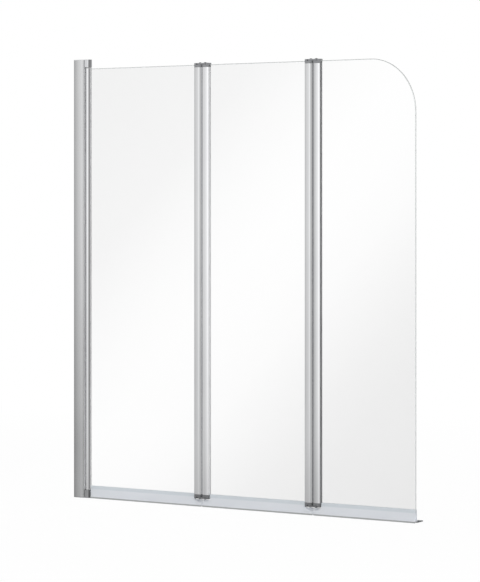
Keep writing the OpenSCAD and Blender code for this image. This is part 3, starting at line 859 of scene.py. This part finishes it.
@dataclass
class WallSide:
    """Wall channel with its end caps, and the bearing blocks over the pivot tube."""

    finishes: Finishes
    body: str = "wall_frame"
    bulge: float = 1.2
    crest: float = 29.0
    rear_round: float = 3.0
    side_wall: float = 1.4
    back_wall: float = 2.0
    lip_round: float = 0.45
    cap_round: float = 0.7
    block_round: float = 0.9
    wall_hole_r: float = 2.75
    wall_hole_offsets: tuple[float, ...] = (-580.0, -200.0, 200.0, 580.0)
    adjuster_x: float = 24.0
    adjuster_hole_r: float = 2.25
    adjuster_offsets: tuple[float, ...] = (-480.0, 0.0, 480.0)
    seat_r: float = 5.85
    seat_depth: float = 0.3
    inner_round: float = 0.5
    bore_depth: float = 19.0
    bush_flange: float = 1.6
    slack: float = 0.05
    slider_gap: float = 0.3
    slider_wall: float = 1.5
    tail_round: float = 0.3
    seam_rounds: Pair = (0.12, 0.4)
    flank_steps: tuple[int, int, int] = (12, 22, 16)
    nose_steps: int = 40

    def __post_init__(self) -> None:
        """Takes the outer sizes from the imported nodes."""
        low, high = low_high("wall_channel")
        self.width = high[0]
        self.half = high[1]
        self.z0, self.z1 = low[2], high[2]
        self.middle_z = (self.z0 + self.z1) / 2
        self.cavity = self.half - self.bulge - self.side_wall
        self.cap_z1 = low_high("channel_cap_top")[1][2]
        tube_low, tube_high = low_high("pivot_tube")
        self.tube_r = tube_high[1]
        self.pivot_x = tube_low[0] + self.tube_r

    def arc_radius(self, run: float) -> float:
        """Radius of a side arc that falls by the bulge over a run: (run^2 + b^2) / (2 b)."""
        return (run ** 2 + self.bulge ** 2) / (2 * self.bulge)

    def flank(self) -> Array:
        """The upper side in section, from the back to the mouth.

        A corner arc about (r, y) touches the rear arc, so y is
        half - R + sqrt((R - r)^2 - (crest - r)^2); the two side arcs meet level at the crest.
        """
        rear, front = self.arc_radius(self.crest), self.arc_radius(self.width - self.crest)
        r = self.rear_round
        lean = math.asin((self.crest - r) / (rear - r))
        corner_y = self.half - rear + (rear - r) * math.cos(lean)
        fall = math.degrees(math.asin((self.width - self.crest) / front))
        turn = 90 + math.degrees(lean)
        corner_steps, rear_steps, front_steps = self.flank_steps
        return np.vstack([arc((r, corner_y), r, 180, turn, corner_steps),
                          arc((self.crest, self.half - rear), rear, turn, 90, rear_steps)[1:],
                          arc((self.crest, self.half - front), front, 90, 90 - fall, front_steps)[1:]])

    def section(self, inner: list[Triple]) -> Array:
        """The channel's outline with the given corners inside its mouth.

        Args:
            inner: Corner points with radii, from the mouth's lower to its upper side.

        Returns:
            The closed outline.
        """
        flank = self.flank()
        upper = [(float(x), float(y), 0.0) for x, y in flank[:-1]]
        lower = [(x, -y, 0.0) for x, y, _ in upper]
        end = float(flank[-1, 1])
        mouth = [(self.width, -end, self.lip_round), *inner, (self.width, end, self.lip_round)]
        return rounded(lower + mouth + upper[::-1])

    def channel_holes(self) -> MeshParts:
        """Wall screw holes in the back, adjusting screw holes with flat seats in the bath side."""
        tools = MeshParts()
        for offset in self.wall_hole_offsets:
            add_prism(tools, ring((0, self.middle_z + offset), self.wall_hole_r), -PAST,
                      self.back_wall + PAST, run=Run.ALONG_X)
        rear = self.arc_radius(self.crest)
        seat_y = (self.half - rear + math.sqrt(rear ** 2 - (self.adjuster_x - self.crest) ** 2)
                  - self.seat_depth)
        inside, outside = self.cavity - PAST, self.half + PAST
        bore = np.array([(0.0, inside), (self.adjuster_hole_r, inside), (self.adjuster_hole_r, seat_y),
                         (self.seat_r, seat_y), (self.seat_r, outside), (0.0, outside)])
        for offset in self.adjuster_offsets:
            add_turned(tools, bore, (self.adjuster_x, 0, self.middle_z + offset), run=Run.ALONG_Y)
        return tools

    def build_channel(self) -> None:
        """The extruded channel between its caps."""
        lip, inside = self.lip_round, self.inner_round
        inner = [(self.width, -self.cavity, lip), (self.back_wall, -self.cavity, inside),
                 (self.back_wall, self.cavity, inside), (self.width, self.cavity, lip)]
        parts = MeshParts()
        add_prism(parts, self.section(inner), self.z0, self.z1)
        piece = parts.object("channel_extrusion", [self.finishes.channel])
        combine(piece, self.channel_holes(), How.CUT)
        finish_piece(piece, self.body, "bright_aluminium", "wall_channel")

    def build_caps(self) -> None:
        """A plate at each end, rounded on its outer edge."""
        thickness = self.cap_z1 - self.z1
        for end, low, edge in ((End.TOP, self.z1, (0, self.cap_round)),
                               (End.BOTTOM, self.z0 - thickness, (self.cap_round, 0))):
            parts = MeshParts()
            add_prism(parts, self.section([]), low, low + thickness, edge=edge)
            name = end.name.lower()
            piece = parts.object(f"channel_end_{name}", [self.finishes.plated])
            finish_piece(piece, self.body, "chromed_plastic", f"channel_cap_{name}")

    def build_blocks(self) -> None:
        """Round-nosed blocks over the tube, with the bush's bore and a tail in the channel."""
        start, end_x = self.width + self.slack, self.pivot_x
        half = self.cavity - self.slider_gap - self.slider_wall - self.slack
        nose = np.vstack([[(start, self.tube_r)], [(start, -self.tube_r)],
                          arc((end_x, 0), self.tube_r, -90, 90, self.nose_steps)])
        top_seam, bottom_seam = self.seam_rounds
        for end in End:
            name = end.name.lower()
            node = f"bearing_block_{name}"
            low, high = low_high(node)
            bush_r = low_high(f"block_bush_{name}")[1][1] - self.bush_flange + self.slack
            if end is End.TOP:
                bore_z, tail_z = (low[2], low[2] + self.bore_depth), (low[2], self.z1)
                edge = (top_seam, self.block_round)
            else:
                bore_z, tail_z = (high[2] - self.bore_depth, high[2]), (self.z0, high[2])
                edge = (self.block_round, bottom_seam)
            tail = rounded([(low[0], -half, self.inner_round), (start, -half, 0), (start, half, 0),
                            (low[0], half, self.inner_round)])
            parts = MeshParts()
            add_prism(parts, nose, low[2], high[2], holes=through([ring((end_x, 0), bush_r)], *bore_z),
                      edge=edge)
            add_prism(parts, tail, *tail_z, edge=(self.tail_round, self.tail_round))
            piece = parts.object(f"pivot_block_{name}", [self.finishes.plated])
            finish_piece(piece, self.body, "chromed_plastic", node)

    def build(self) -> None:
        """Builds the pieces of the wall side that are made anew."""
        self.build_channel()
        self.build_caps()
        self.build_blocks()


@dataclass
class PivotTube:
    """Round tube with a glass pocket and gasket grooves, on the inner panel."""

    finishes: Finishes
    body: str = "inner_panel"
    pocket_half: float = 3.5
    pocket_depth: float = 11.5
    key_inset: float = 4.5
    key_w: float = 2.0
    key_d: float = 0.7
    lip_round: float = 0.3
    port_r: float = 2.0
    port_at: Pair = (-4.7, 5.3)
    around: int = 96
    port_steps: int = 24

    def section(self, x: float, radius: float) -> Array:
        """The tube's section: a circle with a pocket that is filled behind its gasket grooves.

        Args:
            x: Middle of the tube.
            radius: Its radius.

        Returns:
            The outline. Its pocket points go from the floor out to the mouth and back again.
        """
        mouth = math.degrees(math.asin(self.pocket_half / radius))
        floor, key = x + radius - self.pocket_depth, x + radius - self.key_inset
        deep = self.pocket_half + self.key_d
        upper = [(key + self.key_w, self.pocket_half), (key + self.key_w, deep), (key, deep),
                 (key, self.pocket_half), (floor, self.pocket_half)]
        lower = [(a, -b) for a, b in reversed(upper)]
        return np.vstack([arc((x, 0), radius, mouth, 360 - mouth, self.around), lower, upper])

    def build(self) -> None:
        """Builds the tube."""
        low, high = low_high("pivot_tube")
        radius = high[1]
        x = low[0] + radius
        along, aside = self.port_at
        ports = [ring((x + along, way * aside), self.port_r, self.port_steps) for way in (-1, 1)]
        parts = MeshParts()
        add_prism(parts, self.section(x, radius), low[2], high[2],
                  holes=through(ports, low[2], high[2]))
        piece = parts.object("pivot_profile", [self.finishes.tube])
        finish_piece(piece, self.body, "bright_aluminium", "pivot_tube")


@dataclass
class Hinge:
    """Double-pivot hinge: two leaves with caps, two link plates and four pins."""

    finishes: Finishes
    number: int
    left_body: str
    right_body: str
    link_body: str
    pin_pitch: float = 20.0
    leaf_w: float = 18.5
    taper: float = 2.4
    corner_r: float = 2.0
    pocket_half: float = 3.5
    pocket: float = 12.5
    key_inset: float = 4.5
    key_w: float = 2.0
    key_d: float = 0.7
    bush_r: float = 4.8
    port_r: float = 1.5
    port_at: Pair = (10.6, 6.1)
    slot_half: float = 2.55
    slack: float = 0.05
    gap: float = 0.3
    leg_len: float = 12.0
    cap_round: float = 0.6
    crown_round: float = 3.0
    link_round: float = 0.9
    pin_r: float = 3.0
    head_r: float = 5.4
    head_t: float = 2.2
    glass_gap: float = 1.0
    leg_root: float = 2.0
    leg_tip: float = 0.3
    seat_round: float = 0.15
    inner_round: float = 0.3
    pin_depth: float = 19.0
    pin_chamfer: float = 0.6
    head_chamfer: float = 0.15
    leaf_steps: tuple[int, int, int] = (64, 20, 10)
    port_steps: int = 24
    leg_steps: int = 20
    crown_steps: int = 12
    link_steps: int = 40
    dome_steps: int = 10

    def __post_init__(self) -> None:
        """Takes the hinge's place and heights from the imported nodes."""
        low, high = low_high(f"hinge_{self.number}_link_top")
        self.x = (low[0] + high[0]) / 2
        self.link_r = high[1]
        self.link_z = (low[2], high[2])
        leaf_low, leaf_high = low_high(f"hinge_{self.number}_left_leaf")
        self.nose_r = leaf_high[1]
        self.leaf_z = (leaf_low[2], leaf_high[2])
        self.caps_seat_z = self.link_z[0] - self.gap
        self.middle_z = (self.leaf_z[0] + self.leaf_z[1]) / 2

    def outline(self, inner: list[Pair]) -> Array:
        """A leaf's outline about its pin, glass at +x.

        The nose is half a circle about the pin. From it a shallow arc of radius
        (w^2 + taper^2) / (2 taper) runs to the corner's circle, which it touches.

        Args:
            inner: Points of the pocket's lower half, from its mouth to its floor.

        Returns:
            The closed outline, counter-clockwise.
        """
        arc_r = (self.leaf_w ** 2 + self.taper ** 2) / (2 * self.taper)
        corner_x = self.leaf_w - self.corner_r
        lean = math.asin(corner_x / (arc_r - self.corner_r))
        corner_y = (arc_r - self.corner_r) * math.cos(lean) - (arc_r - self.nose_r)
        lean_deg = math.degrees(lean)
        nose_steps, side_steps, corner_steps = self.leaf_steps
        nose = arc((0, 0), self.nose_r, 90, 270, nose_steps)
        lower_side = arc((0, arc_r - self.nose_r), arc_r, -90, -90 + lean_deg, side_steps)[1:]
        lower_corner = arc((corner_x, -corner_y), self.corner_r, -90 + lean_deg, 0, corner_steps)[1:]
        lower = np.vstack([lower_side, lower_corner, np.array(inner, float).reshape(-1, 2)])
        return np.vstack([nose, lower, lower[::-1] * np.array([1.0, -1.0])])

    def leaf_outline(self) -> Array:
        """The extruded section with its glass pocket and gasket grooves."""
        key = self.leaf_w - self.key_inset
        floor = self.leaf_w - self.pocket
        near, deep = self.pocket_half, self.pocket_half + self.key_d
        return self.outline([(self.leaf_w, -near), (key + self.key_w, -near), (key + self.key_w, -deep),
                             (key, -deep), (key, -near), (floor, -near)])

    def turned_to(self, side: Side, outline: Array) -> Array:
        """An outline about the pin, moved to its side of the hinge."""
        return outline * np.array([side.value, 1.0]) + np.array([self.pin_x(side), 0])

    def pin_x(self, side: Side) -> float:
        """Where the pin of that side stands along X."""
        return self.x + side.value * self.pin_pitch / 2

    def body_of(self, side: Side) -> str:
        """The panel that the leaf on that side belongs to."""
        return self.left_body if side is Side.LEFT else self.right_body

    def name_of(self, side: Side) -> str:
        """The start of the names of what lies on that side."""
        return f"hinge_{self.number}_{side.name.lower()}"

    def at_ports(self, side: Side, radius: float, steps: int) -> list[Array]:
        """Circles about both screw ports of a leaf."""
        along, aside = self.port_at
        return [self.turned_to(side, ring((along, way * aside), radius, steps)) for way in (-1, 1)]

    def build_leaf(self, side: Side) -> None:
        """One extruded leaf, with its pin bore and screw ports."""
        bores = [self.turned_to(side, ring((0, 0), self.bush_r)),
                 *self.at_ports(side, self.port_r, self.port_steps)]
        parts = MeshParts()
        add_prism(parts, self.turned_to(side, self.leaf_outline()), *self.leaf_z,
                  holes=through(bores, *self.leaf_z))
        # Both hinge finishes carry painted shade and a painted highlight along X.
        finish = self.finishes.inner_hinge if self.number == 1 else self.finishes.outer_hinge
        piece = parts.object(f"{self.name_of(side)}_profile", [finish])
        finish_piece(piece, self.body_of(side), "bright_aluminium", f"{self.name_of(side)}_leaf")

    def cap_cuts(self, side: Side, low: float, crown: float) -> list[MeshParts]:
        """What a cap of height low to crown loses: room for the plate, the glass and the bush.

        The outer corner goes too: outside the quarter circle of radius crown_round in X and Z.

        Args:
            side: The side of the leaf.
            low: Foot of the cap.
            crown: Its top.

        Returns:
            The tools, one body in each.
        """
        glass_z, half, far = self.caps_seat_z, self.nose_r + PAST, self.leaf_w + PAST

        def block(x0: float, x1: float, depth: float) -> Array:
            """A rectangle about the pin, from x0 to x1 and depth to both sides."""
            return self.turned_to(side, np.array([(x0, -depth), (x1, -depth), (x1, depth), (x0, depth)]))

        room, slot, bore, corner = (MeshParts() for _ in range(4))
        add_prism(room, block(-half, self.link_r + self.gap, half), glass_z, crown + PAST)
        floor = self.leaf_w - self.pocket + self.glass_gap - self.slack
        add_prism(slot, block(floor, far, self.slot_half), low - PAST, glass_z + self.slack)
        add_prism(bore, self.turned_to(side, ring((0, 0), self.bush_r)), low - PAST, glass_z + PAST)
        r, top = self.crown_round, crown + PAST
        curve = arc((self.leaf_w - r, crown - r), r, 0, 90, self.crown_steps)
        outside = np.vstack([curve, [(self.leaf_w - r, top), (far, top), (far, crown - r)]])
        add_prism(corner, self.turned_to(side, outside)[:, ::-1], -half, half, run=Run.ALONG_Y)
        return [room, slot, bore, corner]

    def build_caps(self, side: Side) -> None:
        """Both moulded caps of a leaf: level with the link plate outside it, with push-in legs."""
        low, crown = self.leaf_z[1], self.link_z[1]
        parts = MeshParts()
        add_prism(parts, self.turned_to(side, self.outline([])), low, crown,
                  edge=(self.seat_round, self.cap_round))
        piece = parts.object(f"{self.name_of(side)}_end_caps", [self.finishes.cap])
        for tools in self.cap_cuts(side, low, crown):
            combine(piece, tools, How.CUT)
        legs = MeshParts()
        for leg in self.at_ports(side, self.port_r - self.slack, self.leg_steps):
            add_prism(legs, leg, low - self.leg_len, low + self.leg_root, edge=(self.leg_tip, 0))
        combine(piece, legs, How.JOIN)
        add_mirrored(piece, self.middle_z)
        finish_piece(piece, self.body_of(side), "grey_plastic", f"{self.name_of(side)}_caps")

    def link_outline(self) -> Array:
        """A plate with two round ends, one about each pin."""
        half = self.pin_pitch / 2
        return np.vstack([arc((self.x + half, 0), self.link_r, -90, 90, self.link_steps),
                          arc((self.x - half, 0), self.link_r, 90, 270, self.link_steps)])

    def build_links(self) -> None:
        """The plates above and below the leaves."""
        thickness = self.link_z[1] - self.link_z[0]
        outer, inner = self.link_round, self.inner_round
        bores = [ring((self.pin_x(side), 0), self.pin_r + self.slack, self.link_steps)
                 for side in Side]
        for end, low, edge in ((End.TOP, self.link_z[0], (inner, outer)),
                               (End.BOTTOM, 2 * self.middle_z - self.link_z[1], (outer, inner))):
            high = low + thickness
            parts = MeshParts()
            add_prism(parts, self.link_outline(), low, high, holes=through(bores, low, high), edge=edge)
            name = f"hinge_{self.number}_link_{end.name.lower()}"
            piece = parts.object(f"{name}_plate", [self.finishes.cap])
            finish_piece(piece, self.link_body, "grey_plastic", name)

    def build_pins(self) -> None:
        """Four pins with domed heads: the head is a cap of a sphere over the shank."""
        dome_r = (self.head_r ** 2 + self.head_t ** 2) / (2 * self.head_t)
        lean = math.degrees(math.asin(self.head_r / dome_r))
        crown = self.link_z[1]
        shank = crown - (self.leaf_z[1] - self.pin_depth)
        foot = [(0.0, 0.0), (self.pin_r - self.pin_chamfer, 0.0), (self.pin_r, self.pin_chamfer),
                (self.pin_r, shank), (self.head_r - self.head_chamfer, shank)]
        dome = arc((0, shank + self.head_t - dome_r), dome_r, 90 - lean, 90, self.dome_steps)
        profile = np.vstack([foot, dome])
        flipped = (profile * np.array([1.0, -1.0]))[::-1]
        parts = MeshParts()
        for side in Side:
            x = self.pin_x(side)
            add_turned(parts, profile, (x, 0, crown - shank), around=self.link_steps)
            add_turned(parts, flipped, (x, 0, 2 * self.middle_z - crown + shank), around=self.link_steps)
        piece = parts.object(f"hinge_{self.number}_pin_set", [self.finishes.pin])
        finish_piece(piece, self.link_body, "pin_metal", f"hinge_{self.number}_pins")

    def build(self) -> None:
        """Builds the whole hinge."""
        for side in Side:
            self.build_leaf(side)
            self.build_caps(side)
        self.build_links()
        self.build_pins()


@dataclass
class Pane:
    """A toughened glass pane with ground edges and, on the outer one, a large round corner."""

    finishes: Finishes
    node: str
    body: str
    corner_r: float = 3.0
    top_corner_r: float = 3.0
    edge_round: float = 2.4
    edge_steps: int = 6
    small_steps: int = 6
    large_steps: int = 48

    def build(self) -> None:
        """Builds the pane: its outline in X and Z, carried through its thickness along Y."""
        low, high = low_high(self.node)
        small = self.corner_r
        corners = [(low[2], low[0], small), (high[2], low[0], small),
                   (high[2], high[0], self.top_corner_r), (low[2], high[0], small)]
        steps = self.large_steps if self.top_corner_r > small else self.small_steps
        parts = MeshParts()
        add_prism(parts, rounded(corners, steps), low[1], high[1], run=Run.ALONG_Y,
                  edge=(self.edge_round, self.edge_round), edge_steps=self.edge_steps, side_finish=1)
        piece = parts.object(f"{self.node}_pane", [self.finishes.glass, self.finishes.glass_edge])
        finish_piece(piece, self.body, "clear_glass", self.node)


class CarriedNodes:
    """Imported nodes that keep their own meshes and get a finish."""

    def __init__(self, finishes: Finishes) -> None:
        """Pairs a part of the nodes' names with the finish that they get."""
        self.by_name: tuple[tuple[str, Material], ...] = (
            # The pivot's gasket and hinge 1's right gasket take the lit copy of the gasket rubber, a painted
            # highlight.
            ("screws", finishes.steel), ("bush", finishes.nylon), ("pivot_gasket", finishes.pale_gasket),
            ("1_right_gasket", finishes.pale_gasket), ("2_right_gasket", finishes.gasket),
            ("left_gasket", finishes.gasket), ("pivot_strip", finishes.strip),
            ("pivot_plug", finishes.zinc), ("seal", finishes.vinyl), ("covers", finishes.plated),
            ("inner_channel", finishes.slider))

    def dress(self) -> None:
        """Gives each shown node its finish."""
        for name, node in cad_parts.items():
            if node.hide_render:
                continue
            for part_name, finish in self.by_name:
                if part_name in name:
                    node.data.materials.clear()
                    node.data.materials.append(finish)
                    LOG.info("%s keeps its mesh, finish %s", name, finish.name)


# ---- studio ------------------------------------------------------------------------


@dataclass
class Studio:
    """Pale floor, soft light and the camera at the photograph's angle.

    The surround that metal mirrors has a brightness by heading, in degrees from +X towards +Y,
    times one by the upward part of the direction; its haze veils the heading's level.
    """

    photo_w: int = 480
    photo_h: int = 582
    focal_px: float = 2914.4
    horizon_y: float = 203.6
    turn_deg: float = 36.57
    aim_x: float = 0.6548
    distance: float = 8.956
    height: float = 0.94
    sensor: float = 36.0
    sight: float = 200.0
    floor_z: float = -0.0003
    floor_half: float = 60.0
    floor_grey: Triple = (0.86, 0.86, 0.86)
    floor_white: float = 0.95
    fade: Pair = (1.6, 4.0)
    ambient: float = 0.72
    surround: Stops = (
        (-180, 0.40), (-172, 0.46), (-153, 0.66), (-140, 0.78), (-128, 0.90), (-112, 1.04),
        (-101, 1.12), (-82, 0.98), (-74, 0.64), (-44, 0.58), (-28, 0.56), (-4, 0.58), (16, 0.66),
        (41, 0.76), (62, 0.95), (85, 0.90), (105, 0.60), (120, 0.26), (150, 0.27), (170, 0.36),
        (180, 0.40))
    layers: Stops = (
        (-1.0, 0.9), (-0.22, 0.9), (-0.12, 0.5), (-0.090, 0.69), (-0.084, 0.79), (-0.078, 0.83),
        (-0.066, 0.79), (-0.055, 0.83), (-0.035, 0.87), (0.0, 1.0), (1.0, 1.0))
    haze: Stops = ((-1.0, 0.0), (-0.22, 0.0), (-0.14, 0.5), (-0.082, 0.5), (-0.074, 0.0), (1.0, 0.0))
    haze_grey: Triple = (0.9, 0.9, 0.9)
    lamps: tuple[tuple[str, Triple, float], ...] = (
        ("key_lamp", (-2.2, -3.4, 3.2), 62.0), ("fill_lamp", (4.0, -2.4, 2.4), 24.0),
        ("back_lamp", (1.5, 3.6, 3.0), 24.0))
    lamp_size: float = 2.4
    lamp_aim: Triple = (0.6, 0.0, 0.7)

    def build_camera(self) -> None:
        """A level camera; the shift alone brings the horizon to its place in the frame."""
        data = bpy.data.cameras.new("camera")
        long_side = max(self.photo_w, self.photo_h)
        data.sensor_width = self.sensor
        data.lens = self.focal_px * self.sensor / long_side
        data.shift_y = (self.horizon_y - self.photo_h / 2) / long_side
        data.clip_end = self.sight
        camera = bpy.data.objects.new("camera", data)
        turn = math.radians(self.turn_deg)
        camera.location = (self.aim_x + self.distance * math.sin(turn),
                           -self.distance * math.cos(turn), self.height)
        camera.rotation_euler = (math.pi / 2, 0, turn)
        bpy.context.scene.collection.objects.link(camera)
        bpy.context.scene.camera = camera

    def build_floor(self) -> None:
        """A plain pale floor that keeps the shadow and fades into the white backdrop."""
        r, z = self.floor_half, self.floor_z
        mesh = bpy.data.meshes.new("floor")
        mesh.from_pydata([(-r, -r, z), (r, -r, z), (r, r, z), (-r, r, z)], [], [(0, 1, 2, 3)])
        floor = bpy.data.objects.new("floor", mesh)
        bpy.context.scene.collection.objects.link(floor)
        material = bpy.data.materials.new("pale_floor")
        tree = Tree(material)
        away = tree.add("VectorMath", {0: tree.add("TexCoord", {}, "Object")}, "Value", operation="LENGTH")
        pale = tree.mapped(away, *self.fade, self.floor_white)
        share = tree.add("Math", {0: tree.seen(), 1: pale}, operation="MULTIPLY")
        matt = tree.add("BsdfDiffuse", {"Color": opaque(self.floor_grey)})
        plain = tree.mixed_shader(share, matt, tree.add("Emission", {}))
        clear = tree.add("BsdfTransparent", {})
        tree.close("Material", tree.mixed_shader(tree.ray("Glossy"), plain, clear))
        mesh.materials.append(material)

    def build_world(self) -> None:
        """White for what the eye sees directly or through glass, a soft studio for the metal."""
        world = bpy.data.worlds.new("studio")
        bpy.context.scene.world = world
        tree = Tree(world)
        looking = tree.add("TexCoord", {}, "Generated")
        x, y, z = (tree.add("SeparateXYZ", {0: looking}, axis) for axis in "XYZ")
        heading = tree.add("Math", {0: y, 1: x}, operation="ARCTAN2")
        level = tree.banded(heading, self.surround, math.radians(1), "EASE")
        veiled = tree.mixed(tree.banded(z, self.haze), level, self.haze_grey)
        mirrored = tree.add("Background", {"Color": veiled, "Strength": tree.banded(z, self.layers)})
        ambient = tree.add("Background", {"Color": WHITE, "Strength": self.ambient})
        backdrop = tree.add("Background", {"Color": WHITE, "Strength": 1.0})
        unseen = tree.mixed_shader(tree.ray("Glossy"), ambient, mirrored)
        tree.close("World", tree.mixed_shader(tree.seen(), unseen, backdrop))

    def build_lamps(self) -> None:
        """Large soft lamps, two before the screen and one behind, that the metal doesn't mirror."""
        for name, place, power in self.lamps:
            data = bpy.data.lights.new(name, "AREA")
            data.shape = "SQUARE"
            data.size = self.lamp_size
            data.energy = power
            lamp = bpy.data.objects.new(name, data)
            lamp.location = place
            aim = Vector(self.lamp_aim) - Vector(place)
            lamp.rotation_euler = aim.to_track_quat("-Z", "Y").to_euler()
            lamp.visible_glossy = False
            bpy.context.scene.collection.objects.link(lamp)

    def build(self) -> None:
        """Builds the studio and sets plain colour management."""
        self.build_camera()
        self.build_floor()
        self.build_world()
        self.build_lamps()
        bpy.context.scene.view_settings.view_transform = "Standard"


def main() -> None:
    """Builds the studio, then every sub-assembly in order."""
    logging.basicConfig(level=logging.INFO, format="%(message)s")
    Studio().build()
    finishes = Finishes.make()
    WallSide(finishes).build()
    PivotTube(finishes).build()
    Hinge(finishes, 1, "inner_panel", "middle_panel", "hinge_1_link").build()
    Hinge(finishes, 2, "middle_panel", "outer_panel", "hinge_2_link").build()
    Pane(finishes, "glass_inner", "inner_panel").build()
    Pane(finishes, "glass_middle", "middle_panel").build()
    Pane(finishes, "glass_outer", "outer_panel", top_corner_r=160.0).build()
    CarriedNodes(finishes).dress()


if __name__ == "__main__":
    main()
